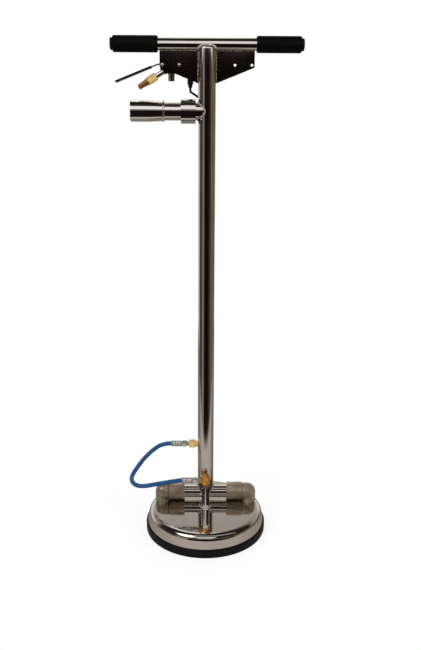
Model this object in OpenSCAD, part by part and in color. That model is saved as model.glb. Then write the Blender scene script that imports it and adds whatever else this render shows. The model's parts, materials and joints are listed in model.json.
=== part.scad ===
// Hard-surface spinner: a pressure-washing head with vacuum recovery.
// A steel pan rides on a rubber ring and hides a spinning spray bar. A tilting
// wand carries the water line, the trigger valve and the vacuum outlet.
// Millimetres, +Z up. The origin is on the floor, on the axis of the head.

/* [Head] */
// Outer radius of the rubber ring that rides on the floor
ring_r = 144; // [138:1:160]
// Height of the rubber ring
ring_h = 21; // [18:0.5:25]
// Radial width of the rubber ring
ring_w = 10; // [9:0.5:14]
// How far the ring stands out past the pan
ring_lip = 3.5; // [3:0.5:5]
// How far the edge of the flat deck lies inside the rubber ring's edge
deck_in = 22.5; // [20:0.5:26]
// Height of the deck above the floor
deck_z = 53.5; // [50:0.5:62]
// Thickness of the pan's steel
shell_t = 2; // [1.5:0.1:3]
// Lean of the pan's wall, from upright
wall_lean = 10; // [6:1:14]

/* [Tilt joint] */
// Distance of the tilt axis behind the head's axis
tilt_y = 33; // [31:0.5:38]
// Height of the tilt axis above the deck
tilt_h = 22; // [22:0.5:28]
// Outer radius of the cross tube
cross_r = 15.9; // [14:0.1:16.5]
// Wall of the cross tube
cross_t = 1.65; // [1.2:0.05:2]
// Outer radius of the collars that hold the cross tube
collar_r = 21.8; // [20.5:0.1:22]
// Distance from the centre to the inner end of a collar
collar_x = 52; // [45:1:60]
// Distance from the centre to the joint between collar and elbow
joint_x = 90; // [86:0.5:92]
// Outer radius of an elbow's level leg
elbow_r = 20; // [18:0.5:21]
// Outer radius of an elbow's upright leg
leg_r = 16.8; // [15:0.1:17.5]
// Rounding of an elbow's outer corner
elbow_corner = 15; // [6:0.5:17]
// Outer radius of the spigot that passes through the deck
spigot_r = 13; // [12:0.5:14]
// Wall of an elbow
elbow_t = 2.5; // [2:0.1:3.5]

/* [Swivel and inlet] */
// Outer radius of the upright swivel stem
stem_r = 9.5; // [8.5:0.5:10]
// Height of the stem above the deck
stem_h = 50; // [42:0.5:52]
// Radius of the fixed spindle under the deck
spindle_r = 8; // [7:0.5:9]
// Height of the spindle's lower end above the floor
spindle_end_z = 13; // [12:0.5:15]
// Radius of the water way down the stem
stem_bore_r = 3; // [2:0.5:4]
// Width across flats of the flange nut at the stem's foot
flange_af = 23; // [22:0.5:25]
// Height of the flange nut's hexagon
flange_hex_h = 4.5; // [3:0.5:6]
// Width across flats of the nut under the brass elbow
inlet_nut_af = 19; // [18:0.5:21]
// Height of the nut under the brass elbow
inlet_nut_h = 9; // [6:0.5:10]
// Radius of the brass elbow's body
inlet_r = 10.8; // [10:0.1:12]
// Height of the brass elbow's level leg above its foot
inlet_rise = 8.5; // [8:0.5:14]
// Height of the brass elbow's head above its level leg
inlet_head = 14.5; // [10:0.5:16]

/* [Spray rotor] */
// Height of the spray arms above the floor
arm_z = 34; // [33:0.5:36]
// Radius at which the nozzles turn
nozzle_orbit = 105; // [90:1:110]
// Outer radius of a spray arm
arm_r = 5; // [4.5:0.5:6]
// Outer radius of the rotor's hub
hub_r = 22; // [20:0.5:26]
// Height of the rotor's hub
hub_h = 20; // [18:0.5:21]
// Outer radius of a rotor bearing
bearing_r = 14; // [13:0.5:16]
// Thickness of a rotor bearing
bearing_h = 6; // [5:0.5:6.5]
// Lean of the nozzles that makes the rotor spin
nozzle_lean = 20; // [5:1:30]

/* [Pole] */
// Outer radius of the pole
pole_r = 19.05; // [17.5:0.05:19.5]
// Wall of the pole
pole_t = 1.65; // [1.2:0.05:2.5]
// Outer radius of the vacuum stub on the pole's side
stub_r = 18.7; // [17:0.1:18.8]
// Height of the handlebar's axis above the floor
bar_z = 1113; // [900:1:1200]
// Rounding at the pole's closed top
pole_top_r = 6; // [3:0.5:8]
// Height of the water outlet on the pole above the floor
outlet_z = 203; // [195:1:215]

/* [Handlebar] */
// Outer radius of the handlebar
bar_r = 12.7; // [11:0.1:13]
// Wall of the handlebar
bar_t = 1.65; // [1.2:0.05:2.5]
// Distance from the centre to the outer end of a grip
grip_end = 198; // [190:1:210]
// Length of a grip
grip_len = 95; // [85:1:96]
// Outer radius of a grip
grip_r = 17; // [15.5:0.5:19]
// Rounding of a grip's ends
grip_round = 4; // [2:0.5:4]
// Length of an end plug's head
plug_head = 5; // [3:0.5:8]
// Length of an end plug's shank
plug_shank = 16; // [10:1:30]

/* [Gussets] */
// Distance from the centre to a gusset's outer edge
gusset_x = 100; // [100:0.5:102]
// Depth of a gusset's outer edge below the bar's axis
gusset_out_z = 46; // [44:0.5:52]
// Depth of a gusset at the pole below the bar's axis
gusset_in_z = 78; // [72:1:90]
// Thickness of a gusset
gusset_t = 3; // [2:0.5:5]
// Distance from the centre to the inner gusset hole
hole_in_x = 58.6; // [56:0.2:60]
// Distance from the centre to the outer gusset hole
hole_out_x = 94.2; // [93:0.2:95]
// Depth of the gusset holes below the bar's axis
hole_z = 41; // [40:0.5:42]
// Radius of a gusset hole
hole_r = 2.75; // [2.6:0.05:3]

/* [Trigger and valve] */
// Width of the valve from front to back
valve_w = 22; // [21:0.5:26]
// Distance from the centre to the plunger and its cap
plunger_x = 76; // [75:0.5:77]
// Radius of the plunger
plunger_r = 3; // [2.5:0.1:3.2]
// How far the plunger travels
plunger_travel = 5.5; // [5:0.1:5.5]
// Distance from the centre to the valve's outlet
line_x = 35.8; // [33:0.2:38]
// Radius of the cap under the plunger
cap_r = 7.25; // [6.5:0.05:7.5]
// Length of the cap under the valve
cap_len = 15.5; // [15:0.5:18]
// Width of the lever
lever_w = 16; // [14:0.5:17]
// Thickness of the lever's plate
lever_t = 2; // [1.4:0.1:2.2]
// Slope of the lever's inner arm
lever_slope = 12; // [11:0.5:12]
// Extra slope of the lever's outer arm
lever_bend = 9.5; // [7:0.5:12]
// Length of the lever's outer arm
lever_arm = 93; // [80:1:98]
// Thickness of the sleeve on the lever's outer arm
sleeve_t = 4.6; // [4:0.1:5.5]

/* [Quick plug] */
// Slope of the water inlet below the level
inlet_slope = 31; // [29:0.5:33]
// Length of the nipple between valve and plug
nipple_len = 18; // [14:0.5:24]
// Width across flats of the plug's brass body
plug_af = 15; // [13:0.5:17]
// Length of the plug's brass body
plug_len = 19.5; // [16:0.5:24]
// Length of the plug's nose
nose_len = 21.5; // [20:0.5:26]

/* [Vacuum cuff] */
// Depth of the cuff's axis below the bar's axis
cuff_z = 135; // [130:1:150]
// Outer radius of the swivel collar
swivel_r = 25.75; // [25:0.25:28]
// Distance from the centre to the collar's inner face
swivel_in_x = 24; // [22:0.5:26]
// Length of the swivel collar
swivel_len = 31.5; // [30:0.5:36]
// Distance from the centre to the cuff's open end
mouth_x = 163.4; // [150:0.2:180]
// Outer radius of the sleeve at its mouth
mouth_r = 22; // [21.5:0.1:24]
// Radius of the bore that takes the vacuum hose
mouth_bore_r = 19.2; // [18.5:0.1:19.5]
// Depth of the bore that takes the vacuum hose
mouth_depth = 48; // [40:1:50]
// Distance from the centre to the bead where tube and sleeve meet
bead_x = 92.5; // [85:0.5:98]

/* [Water line and hose fittings] */
// Radius of the hard water line
line_r = 2.4; // [2:0.1:2.5]
// Radius of the blue jumper hose
hose_r = 5.25; // [4.75:0.25:6]
// Width across flats of the hose nuts
hose_nut_af = 14; // [13.5:0.5:18]
// Radius of the hose ferrules
ferrule_r = 7.6; // [7:0.1:8.5]

/* [Hidden] */
$fn = 64;

// Gap of a running fit, on the radius
run_gap = 0.05;
// Gap between two pieces that are welded, pressed or screwed together
seat_gap = 0.05;
// Gap at the end of a piece that turns
end_gap = 0.3;
// A cut runs this far past what it cuts
over = 1;

// --- head ---
skirt_r = ring_r - ring_lip;
deck_r = ring_r - deck_in;
wall_z = ring_h;
// The shoulder's arc touches both the deck and the leaning wall
shoulder_r = (skirt_r - deck_r - (deck_z - wall_z) * tan(wall_lean))
             / (cos(wall_lean) - (1 - sin(wall_lean)) * tan(wall_lean));
shoulder_z = deck_z - shoulder_r;
skirt_z = ring_h - 9;
ring_edge_r = 2.5;
under_z = deck_z - shell_t;

// --- tilt joint ---
tilt_z = deck_z + tilt_h;
port_x = joint_x + leg_r;
elbow_out_x = port_x + leg_r;
spigot_drop = 4;
leg_drop = 8;
seal_w = 3;
seal_depth = 3;
seal_x = joint_x - 10;
cross_end = joint_x - end_gap - 0.2;
foot_port_r = cross_r - 4;
foot_h = cross_r + 3;

// --- swivel and inlet ---
stem_top_z = deck_z + stem_h;
flange_disc_h = 1.5;
flange_disc_r = flange_af / 2 + 2;
locknut_h = 6;
tail_r = 5;
tail_len = 4;
elbow_foot_z = stem_top_z + inlet_nut_h;
inlet_z = elbow_foot_z + inlet_rise;
inlet_top_z = inlet_z + inlet_head;
inlet_round = 3.5;
inlet_leg_x = 14.5;
inlet_leg_r = inlet_r - 3.3;

// --- hose fittings, shared by both ends ---
adapter_r = 5.5;
adapter_len = 5.8;
hose_nut_len = 9.5;
ferrule_len = 27;
bulkhead_x = 40.4;
outlet_neck = 5.5;
outlet_neck_r = 7.5;
outlet_nut_af = 18.5;
lower_nut_x = inlet_leg_x + adapter_len;
lower_ferrule_x = lower_nut_x + hose_nut_len;
lower_hose_x = lower_ferrule_x + ferrule_len;
upper_nut_x = bulkhead_x + adapter_len;
upper_ferrule_x = upper_nut_x + hose_nut_len;
upper_hose_x = upper_ferrule_x + ferrule_len;

// --- rotor ---
hub_z = arm_z - hub_h / 2;
hub_top_z = hub_z + hub_h;
arm_socket = 6;
arm_bore_r = arm_r - 2;
seal_ring_h = 2.5;
seal_ring_r = spindle_r + 3;
nozzle_block_r = arm_r + 2;
nozzle_block_h = 16;
nozzle_tip_r = 4;
nozzle_tip_len = 8;
washer_h = 2.5;
washer_z = hub_z - end_gap - washer_h;
rotor_nut_af = 22;

// --- handle, measured from the bar's axis ---
bar_half = grip_end;
pole_top = bar_z - tilt_z - 3;
pole_bore_r = pole_r - pole_t;
outlet_shank_r = 5;
bore_top = pole_top - 18;
stub_bore_r = min(pole_bore_r, stub_r - pole_t) - 1;
stub_end_x = swivel_in_x + 17;
line_in_x = 8;
line_bend_z = -94;
line_inside_z = -113;
bleed_z = -153;
bleed_angle = 226;
bleed_head_r = 4;
bleed_shank_r = 2.5;

// --- gusset and valve, measured from the bar's axis ---
gusset_top = -8;
valve_y0 = gusset_t / 2;
valve_y = valve_y0 + valve_w / 2;
valve_y1 = valve_y0 + valve_w;
valve_top = -26;
valve_foot = -58;
guide_top = -46.5;
guide_end = -52;
chamber_r = 5;
block_x = 69;
outlet_x0 = line_x - 7;
outlet_foot = -70;
line_nut_len = 16;
line_nut_af = 11;
ear_t = 2.8;
ear_out = 6;
ear_down = 9;
ear_up = 8;
guide_wall = 12;
plunger_top = -35.6;
piston_z = -56;
piston_h = 2;
spring_wire = 0.8;
spring_turns = 5;
spring_foot = valve_foot - cap_len + 3.5;
inlet_root = [-87.6, 0, -51];
boss_r = 7;
boss_len = 6;
nipple_r = 5.4;
nipple_tail_r = 3.9;
nipple_tail = 6;
nose_r = 7.4;
nose_tip_r = 4.4;
nose_band = 3.5;
nose_tip_len = 7.5;
water_r = 2;

// --- lever ---
lever_y = valve_y1 - ear_t - end_gap - lever_w / 2;
barrel_r = 4;
plate_lift = barrel_r - lever_t / 2 + 0.35;
lever_inner = 22;
lever_step = 12;
sleeve_start = 12;
pin_r = hole_r - run_gap;
bolt_head_r = 3.8;
bolt_head_h = 2.6;
nut_af = 8;
nut_h = 3.2;

// --- cuff ---
collar_bore_r = pole_r + 3.55;
flange_x0 = stub_end_x + 2.3;
flange_h = 3.4;
ring_nut_x = flange_x0 + flange_h + 0.2;
swivel_out_x = swivel_in_x + swivel_len;
cuff_bore_r = pole_r - pole_t;
sleeve_in_r = pole_r + 1.5;
bead_r = 2.2;
bead_rise = 3.4;
sleeve_x = bead_x + 2;
set_screw_x = swivel_in_x + 12;
set_screw_r = 3;

// Route of the jumper hose, from the pole's outlet to the brass elbow
HOSE = [[-upper_hose_x - end_gap, tilt_y, outlet_z], [-upper_hose_x - 5, tilt_y, outlet_z],
        [-96.9, 33.7, 201.6], [-110.8, 36.7, 196], [-122.2, 41.5, 186.7],
        [-132.1, 46.9, 176.1], [-141.5, 51.8, 164.9], [-150.9, 55.5, 153.2],
        [-160.3, 56, 141], [-169.4, 51.5, 129.5], [-177.1, 41.5, 120.8],
        [-181.2, 27.6, 115.5], [-179.5, 12.7, 112.4], [-171.9, -0.5, 110.9],
        [-159.6, -9.7, 111], [-144.8, -13.4, 113], [-129.6, -12.6, 115.3],
        [-114.4, -10.3, 117.1], [-99.3, -7.4, 118.4], [-84.1, -4.5, 119.6],
        [-69, -1.6, 120.5], [-lower_hose_x - 5, 0, inlet_z],
        [-lower_hose_x - end_gap, 0, inlet_z]];
hose_sides = 10;
hose_steps = 3;

// --- helpers ---
module rod_x(x0, x1, r) {
  translate([min(x0, x1), 0, 0]) rotate([0, 90, 0]) cylinder(h = abs(x1 - x0), r = r);
}
module rod_y(y0, y1, r) {
  translate([0, max(y0, y1), 0]) rotate([90, 0, 0]) cylinder(h = abs(y1 - y0), r = r);
}
module rod_z(z0, z1, r) {
  translate([0, 0, min(z0, z1)]) cylinder(h = abs(z1 - z0), r = r);
}
// A hexagonal bar along X, or along Z
module hex_x(x0, x1, af) {
  translate([min(x0, x1), 0, 0]) rotate([0, 90, 0])
    cylinder(h = abs(x1 - x0), r = af / 2 / cos(30), $fn = 6);
}
module hex_z(z0, z1, af) {
  translate([0, 0, min(z0, z1)])
    cylinder(h = abs(z1 - z0), r = af / 2 / cos(30), $fn = 6);
}
// A square block between two corners
module block(low, high) {
  translate(low) cube(high - low);
}
module at_tilt() { translate([0, tilt_y, tilt_z]) children(); }
module at_bar() { translate([0, tilt_y, bar_z]) children(); }
module at_cuff() { translate([0, tilt_y, bar_z - cuff_z]) children(); }
module at_pivot() { translate([-hole_out_x, 0, -hole_z]) children(); }
// Turns a piece made along +X onto the water inlet's slope
module on_inlet() {
  at_bar() translate([0, valve_y, 0]) translate(inlet_root)
    rotate([0, 180 - inlet_slope, 0]) children();
}
// A straight pipe from a to b
module pipe(a, b, r) {
  d = b - a;
  translate(a)
    rotate([0, acos(d.z / norm(d)), atan2(d.y, d.x)])
      cylinder(h = norm(d), r = r);
}
function unit(v) = v / norm(v);
// A point on the smooth curve through p1 and p2, at t from 0 to 1
function curve(p0, p1, p2, p3, t) =
  0.5 * (2 * p1 + (p2 - p0) * t + (2 * p0 - 5 * p1 + 4 * p2 - p3) * t * t
         + (3 * p1 - p0 - 3 * p2 + p3) * t * t * t);
function smooth(p, steps) =
  let (n = len(p))
  [for (i = [0:n - 2]) for (k = [0:steps - 1])
     curve(i > 0 ? p[i - 1] : 2 * p[0] - p[1], p[i], p[i + 1],
           i < n - 2 ? p[i + 2] : 2 * p[n - 1] - p[n - 2], k / steps),
   p[n - 1]];
// A round tube swept along points; ref is a direction that the route never takes
module sweep(p, r, sides, ref) {
  n = len(p);
  rings = [for (i = [0:n - 1])
    let (t = unit(p[min(i + 1, n - 1)] - p[max(i - 1, 0)]),
         u = unit(cross(t, ref)), v = cross(t, u))
    for (k = [0:sides - 1])
      p[i] + r * (u * cos(360 * k / sides) + v * sin(360 * k / sides))];
  sides_faces = [for (i = [0:n - 2]) for (k = [0:sides - 1])
    let (a = i * sides + k, b = i * sides + (k + 1) % sides)
    each [[a, a + sides, b + sides], [a, b + sides, b]]];
  ends = [[for (k = [0:sides - 1]) k],
          [for (k = [sides - 1:-1:0]) (n - 1) * sides + k]];
  polyhedron(points = rings, faces = concat(sides_faces, ends), convexity = 6);
}

// --- the pan and its ring ---
// Outline of the pan, shrunk inwards by inset: deck, shoulder, leaning wall and skirt
module head_profile(inset) {
  r = shoulder_r - inset;
  foot_r = skirt_r - inset / cos(wall_lean);
  square([deck_r, deck_z - inset]);
  translate([deck_r, shoulder_z]) circle(r = r);
  polygon([[0, 0], [foot_r, 0], [foot_r, wall_z],
           [deck_r + r * cos(wall_lean), shoulder_z + r * sin(wall_lean)],
           [0, shoulder_z + r * sin(wall_lean)]]);
}
module head_shell() color("#cfcbc4") difference() {
  rotate_extrude($fn = 128) difference() {
    head_profile(0);
    head_profile(shell_t);
    square([ring_r, skirt_z]);
  }
  rod_z(0, deck_z + over, spindle_r + seat_gap);
  for (s = [-1, 1]) translate([s * port_x, tilt_y, 0])
    rod_z(under_z - leg_drop, deck_z + over, spigot_r + seat_gap);
}
module rubber_ring() color("#141414") rotate_extrude($fn = 128) difference() {
  union() {
    translate([ring_r - ring_w, ring_edge_r]) square([ring_w, ring_h - 2 * ring_edge_r]);
    translate([ring_r - ring_w, 0]) square([ring_w - ring_edge_r, ring_h]);
    for (z = [ring_edge_r, ring_h - ring_edge_r])
      translate([ring_r - ring_edge_r, z]) circle(r = ring_edge_r);
  }
  translate([skirt_r - shell_t / cos(wall_lean) - seat_gap, skirt_z])
    square([shell_t / cos(wall_lean) + 2 * seat_gap, ring_h]);
}

// --- elbows, collars and seals of the tilt joint ---
// The elbow's outer form, with its collar joint on +X, on the tilt axis's own plane
module elbow_form() {
  round_x = elbow_out_x - elbow_r;
  corner_x = elbow_out_x - elbow_corner;
  corner_z = elbow_r - elbow_corner;
  intersection() {
    translate([0, 0, tilt_z]) rod_x(joint_x, elbow_out_x, elbow_r);
    linear_extrude(2 * tilt_z) {
      translate([joint_x, -elbow_r]) square([round_x - joint_x, 2 * elbow_r]);
      translate([round_x, 0]) circle(r = elbow_r);
    }
    translate([0, 0, tilt_z]) rotate([90, 0, 0]) linear_extrude(3 * elbow_r, center = true) {
      translate([joint_x, -elbow_r]) square([corner_x - joint_x, 2 * elbow_r]);
      translate([joint_x, -elbow_r]) square([elbow_out_x - joint_x, elbow_r + corner_z]);
      translate([corner_x, corner_z]) circle(r = elbow_corner);
    }
  }
  translate([port_x, 0, 0]) rod_z(under_z - leg_drop, tilt_z, leg_r);
}
module elbow_bore() {
  translate([0, 0, tilt_z]) rod_x(joint_x - over, port_x, spigot_r - elbow_t);
  translate([port_x, 0, tilt_z]) sphere(r = spigot_r - elbow_t);
  translate([port_x, 0, 0]) rod_z(0, tilt_z, spigot_r - elbow_t);
}
module elbow(turn) {
  difference() {
    union() {
      difference() {
        translate([0, tilt_y, 0]) rotate(turn) elbow_form();
        rotate_extrude($fn = 128) head_profile(-seat_gap);
      }
      translate([0, tilt_y, 0]) rotate(turn) translate([port_x, 0, 0])
        rod_z(under_z - spigot_drop, tilt_z, spigot_r);
    }
    translate([0, tilt_y, 0]) rotate(turn) elbow_bore();
  }
}
module elbow_right() color("#9f968a") elbow(0);
module elbow_left() color("#9f968a") elbow(180);

module collar() at_tilt() difference() {
  rod_x(collar_x, joint_x, collar_r);
  rod_x(collar_x - over, joint_x + over, cross_r + run_gap);
  rod_x(seal_x, seal_x + seal_w, cross_r + seal_depth);
}
module collar_right() color("#9f968a") collar();
module collar_left() color("#9f968a") mirror([1, 0, 0]) collar();
module tilt_seals() color("#1a1a1a") for (s = [-1, 1]) at_tilt() difference() {
  rod_x(s * (seal_x + seat_gap), s * (seal_x + seal_w - seat_gap),
        cross_r + seal_depth - seat_gap);
  rod_x(s * (seal_x - over), s * (seal_x + seal_w + over), cross_r + run_gap);
}

// --- swivel stem, spindle and water inlet ---
module swivel_stem() color("#d5d2cc") difference() {
  union() {
    rod_z(deck_z, stem_top_z, stem_r);
    rod_z(spindle_end_z, deck_z, spindle_r);
  }
  rod_z(arm_z, stem_top_z + over, stem_bore_r);
  rod_z(stem_top_z - tail_len - over, stem_top_z + over, tail_r + seat_gap);
  translate([0, 0, arm_z]) rod_x(-spindle_r - over, spindle_r + over, water_r);
}
module stem_flange() color("#dedbd5") difference() {
  union() {
    rod_z(deck_z, deck_z + flange_disc_h, flange_disc_r);
    hex_z(deck_z + flange_disc_h, deck_z + flange_disc_h + flange_hex_h, flange_af);
  }
  rod_z(deck_z - over, deck_z + flange_disc_h + flange_hex_h + over, stem_r + seat_gap);
}
module spindle_locknut() color("#b9b5ad") difference() {
  hex_z(under_z - locknut_h, under_z, flange_af - 2);
  rod_z(0, under_z + over, spindle_r + seat_gap);
}
module inlet_nut() color("#d5d2cc") difference() {
  hex_z(stem_top_z, elbow_foot_z, inlet_nut_af);
  rod_z(stem_top_z - over, elbow_foot_z + over, tail_r + seat_gap);
}
module inlet_elbow() color("#c9973f") difference() {
  union() {
    rod_z(elbow_foot_z, inlet_top_z - inlet_round, inlet_r);
    rod_z(inlet_z, inlet_top_z, inlet_r - inlet_round);
    translate([0, 0, inlet_top_z - inlet_round])
      rotate_extrude() translate([inlet_r - inlet_round, 0]) circle(r = inlet_round);
    translate([0, 0, inlet_z]) rod_x(-inlet_leg_x, 0, inlet_leg_r);
    rod_z(stem_top_z - tail_len, elbow_foot_z, tail_r);
  }
  rod_z(stem_top_z - tail_len - over, inlet_z, stem_bore_r);
  translate([0, 0, inlet_z]) sphere(r = stem_bore_r);
  translate([0, 0, inlet_z]) rod_x(-inlet_leg_x - over, 0, stem_bore_r);
}

// --- hose fittings: each is made on the X axis, then put at its end ---
module at_lower() { translate([0, 0, inlet_z]) children(); }
module at_upper() { translate([0, tilt_y, outlet_z]) children(); }
module adapter(x0) color("#dedbd5") difference() {
  rod_x(-x0 - adapter_len, -x0, adapter_r);
  rod_x(-x0 - adapter_len - over, -x0 + over, water_r);
}
module hose_nut(x0) color("#b9b5ad") difference() {
  hex_x(-x0 - hose_nut_len, -x0, hose_nut_af);
  rod_x(-x0 - hose_nut_len - over, -x0 + over, water_r);
}
module ferrule(x0) color("#c4c0b8") difference() {
  union() {
    rod_x(-x0 - 4, -x0, ferrule_r - 1.2);
    rod_x(-x0 - ferrule_len, -x0 - 4, ferrule_r);
  }
  rod_x(-x0 - ferrule_len - over, -x0 + over, water_r);
}
module lower_adapter() at_lower() adapter(inlet_leg_x);
module lower_hose_nut() at_lower() hose_nut(lower_nut_x);
module lower_ferrule() at_lower() ferrule(lower_ferrule_x);
module upper_adapter() at_upper() adapter(bulkhead_x);
module upper_hose_nut() at_upper() hose_nut(upper_nut_x);
module upper_ferrule() at_upper() ferrule(upper_ferrule_x);
module jumper_hose() color("#2a5f93")
  sweep(smooth(HOSE, hose_steps), hose_r, hose_sides, [0, 1, 0]);

// --- spray rotor ---
module rotor_hub() color("#b9b5ad") difference() {
  rod_z(hub_z, hub_top_z, hub_r);
  rod_z(hub_z - over, hub_top_z + over, spindle_r + run_gap);
  rod_z(hub_z - over, hub_z + bearing_h, bearing_r + seat_gap);
  rod_z(hub_top_z - bearing_h, hub_top_z + over, bearing_r + seat_gap);
  rod_z(hub_z + bearing_h - over, hub_z + bearing_h + seal_ring_h, seal_ring_r);
  rod_z(hub_top_z - bearing_h - seal_ring_h, hub_top_z - bearing_h + over, seal_ring_r);
  translate([0, 0, arm_z]) {
    rod_x(-hub_r - over, hub_r + over, arm_bore_r);
    for (s = [-1, 1])
      rod_x(s * (hub_r - arm_socket), s * (hub_r + over), arm_r + seat_gap);
  }
}
module bearing(z0) color("#8e8c88") difference() {
  rod_z(z0, z0 + bearing_h, bearing_r);
  rod_z(z0 - over, z0 + bearing_h + over, spindle_r + run_gap);
  for (z = [z0 - over, z0 + bearing_h - 0.4]) difference() {
    rod_z(z, z + 0.4 + (z < z0 ? over : 2 * over), bearing_r - 1.5);
    rod_z(z - over, z + 3 * over, spindle_r + 1.5);
  }
}
module upper_bearing() bearing(hub_top_z - bearing_h);
module lower_bearing() bearing(hub_z);
module hub_seals() color("#1a1a1a")
  for (z = [hub_z + bearing_h, hub_top_z - bearing_h - seal_ring_h])
    difference() {
      rod_z(z, z + seal_ring_h, seal_ring_r - seat_gap);
      rod_z(z - over, z + seal_ring_h + over, spindle_r + run_gap);
    }
module spray_arms() color("#c4c0b8") for (s = [-1, 1]) translate([0, 0, arm_z])
  difference() {
    rod_x(s * (hub_r - arm_socket + seat_gap), s * nozzle_orbit, arm_r);
    rod_x(s * (hub_r - arm_socket - over), s * (nozzle_orbit + over), arm_bore_r);
  }
module spray_nozzles() color("#c9973f") for (s = [-1, 1])
  translate([s * nozzle_orbit, 0, arm_z]) rotate([s * nozzle_lean, 0, 0])
    difference() {
      union() {
        rod_z(-nozzle_block_h / 2, nozzle_block_h / 2, nozzle_block_r);
        rod_z(-nozzle_block_h / 2 - nozzle_tip_len, 0, nozzle_tip_r);
      }
      rod_x(-s * (nozzle_block_r + over), s * seat_gap, arm_r + seat_gap);
      rod_z(-nozzle_block_h / 2 - nozzle_tip_len - over, 0, 0.8);
    }
module rotor_washer() color("#b9b5ad") difference() {
  rod_z(washer_z, washer_z + washer_h, bearing_r);
  rod_z(0, deck_z, spindle_r + seat_gap);
}
module rotor_nut() color("#b9b5ad") difference() {
  hex_z(spindle_end_z + over, washer_z, rotor_nut_af);
  rod_z(0, deck_z, spindle_r + seat_gap);
}

// --- cross tube and pole ---
module cross_tube() color("#cfcbc4") at_tilt() difference() {
  rod_x(-cross_end, cross_end, cross_r);
  rod_x(-cross_end - over, cross_end + over, cross_r - cross_t);
  rod_z(0, cross_r + over, foot_port_r);
}
module main_pole() color("#cfcbc4") difference() {
  at_tilt() rotate_extrude() {
    square([pole_r, pole_top - pole_top_r]);
    square([pole_r - pole_top_r, pole_top]);
    translate([pole_r - pole_top_r, pole_top - pole_top_r]) circle(r = pole_top_r);
  }
  at_tilt() {
    rod_z(foot_h, bore_top, pole_bore_r);
    rod_z(-over, foot_h + over, foot_port_r);
    rod_x(-pole_r - over, pole_r + over, cross_r + seat_gap);
  }
  at_bar() rod_x(-pole_r - over, pole_r + over, bar_r + seat_gap);
  at_cuff() rod_x(-pole_r - over, 0, stub_bore_r);
  at_upper() rod_x(-pole_r - over, 0, outlet_shank_r + seat_gap);
  line_slant(line_r + 2 * seat_gap);
  bleed_at() rod_x(pole_r - pole_t - over, pole_r + over, bleed_shank_r + seat_gap);
}
module vacuum_stub() color("#cfcbc4") at_cuff() difference() {
  rod_x(-stub_end_x, 0, stub_r);
  rod_x(-stub_end_x - over, over, stub_bore_r);
  rod_z(-2 * pole_r, 2 * pole_r, pole_r + seat_gap);
}

// --- handlebar ---
module handlebar() color("#cfcbc4") at_bar() difference() {
  rod_x(-bar_half, bar_half, bar_r);
  rod_x(-bar_half - over, bar_half + over, bar_r - bar_t);
}
module grip() at_bar() rotate([0, 90, 0]) translate([0, 0, grip_end - grip_len])
  rotate_extrude() difference() {
    union() {
      square([grip_r - grip_round, grip_len]);
      translate([0, grip_round]) square([grip_r, grip_len - 2 * grip_round]);
      for (z = [grip_round, grip_len - grip_round])
        translate([grip_r - grip_round, z]) circle(r = grip_round);
    }
    translate([0, -over]) square([bar_r + seat_gap, grip_len + 2 * over]);
  }
module grip_right() color("#1b1b1b") grip();
module grip_left() color("#1b1b1b") mirror([1, 0, 0]) grip();
module bar_end_plugs() color("#161616") for (s = [0, 1]) mirror([s, 0, 0])
  at_bar() {
    rod_x(bar_half - plug_shank, bar_half, bar_r - bar_t - seat_gap);
    translate([bar_half, 0, 0]) rotate([0, 90, 0]) rotate_extrude() {
      square([bar_r - 2, plug_head]);
      square([bar_r, plug_head - 2]);
      translate([bar_r - 2, plug_head - 2]) circle(r = 2);
    }
  }

// --- gussets ---
module gusset() at_bar() difference() {
  rotate([90, 0, 0]) linear_extrude(gusset_t, center = true) polygon([
    [pole_r - gusset_t, gusset_top], [gusset_x, gusset_top], [gusset_x, -gusset_out_z],
    [pole_r, -gusset_in_z], [pole_r - gusset_t, -gusset_in_z]]);
  rod_z(-2 * gusset_in_z, 0, pole_r + seat_gap);
  rod_x(0, gusset_x + over, bar_r + seat_gap);
  for (x = [hole_in_x, hole_out_x])
    translate([x, 0, -hole_z]) rod_y(-gusset_t, gusset_t, hole_r);
}
module gusset_right() color("#2b2624") gusset();
module gusset_left() color("#2b2624") mirror([1, 0, 0]) gusset();

// --- vacuum cuff ---
module swivel_collar() color("#d5d2cc") at_cuff() difference() {
  rod_x(-swivel_out_x, -swivel_in_x, swivel_r);
  rod_x(-stub_end_x, 0, stub_r + seat_gap);
  rod_x(-swivel_out_x - over, -stub_end_x - seat_gap, collar_bore_r);
  for (a = [0, 90]) rotate([a, 0, 0]) translate([-set_screw_x, 0, 0])
    rod_z(-swivel_r - over, 0, set_screw_r + seat_gap);
}
module collar_ring_nut() color("#a9a59d") at_cuff() difference() {
  rod_x(-swivel_out_x, -ring_nut_x, collar_bore_r - seat_gap);
  rod_x(-swivel_out_x - over, 0, pole_r + run_gap);
}
module cuff_seal() color("#1a1a1a") at_cuff() difference() {
  rod_x(-flange_x0 + 0.1, -stub_end_x - seat_gap, collar_bore_r - seat_gap);
  rod_x(-flange_x0 - over, 0, stub_bore_r);
}
module collar_set_screws() color("#8e8c88") at_cuff() for (a = [0, 90])
  rotate([a, 0, 0]) translate([-set_screw_x, 0, 0]) difference() {
    rod_z(-swivel_r + 0.8, -stub_r - 0.1, set_screw_r);
    translate([0, 0, -swivel_r]) hex_z(-over, 3, set_screw_r);
  }
module cuff_tube() color("#d5d2cc") at_cuff() difference() {
  union() {
    rod_x(-flange_x0 - flange_h, -flange_x0, collar_bore_r - 2 * run_gap);
    rod_x(-sleeve_x, -flange_x0, pole_r);
  }
  rod_x(-sleeve_x - over, 0, cuff_bore_r);
}
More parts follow.
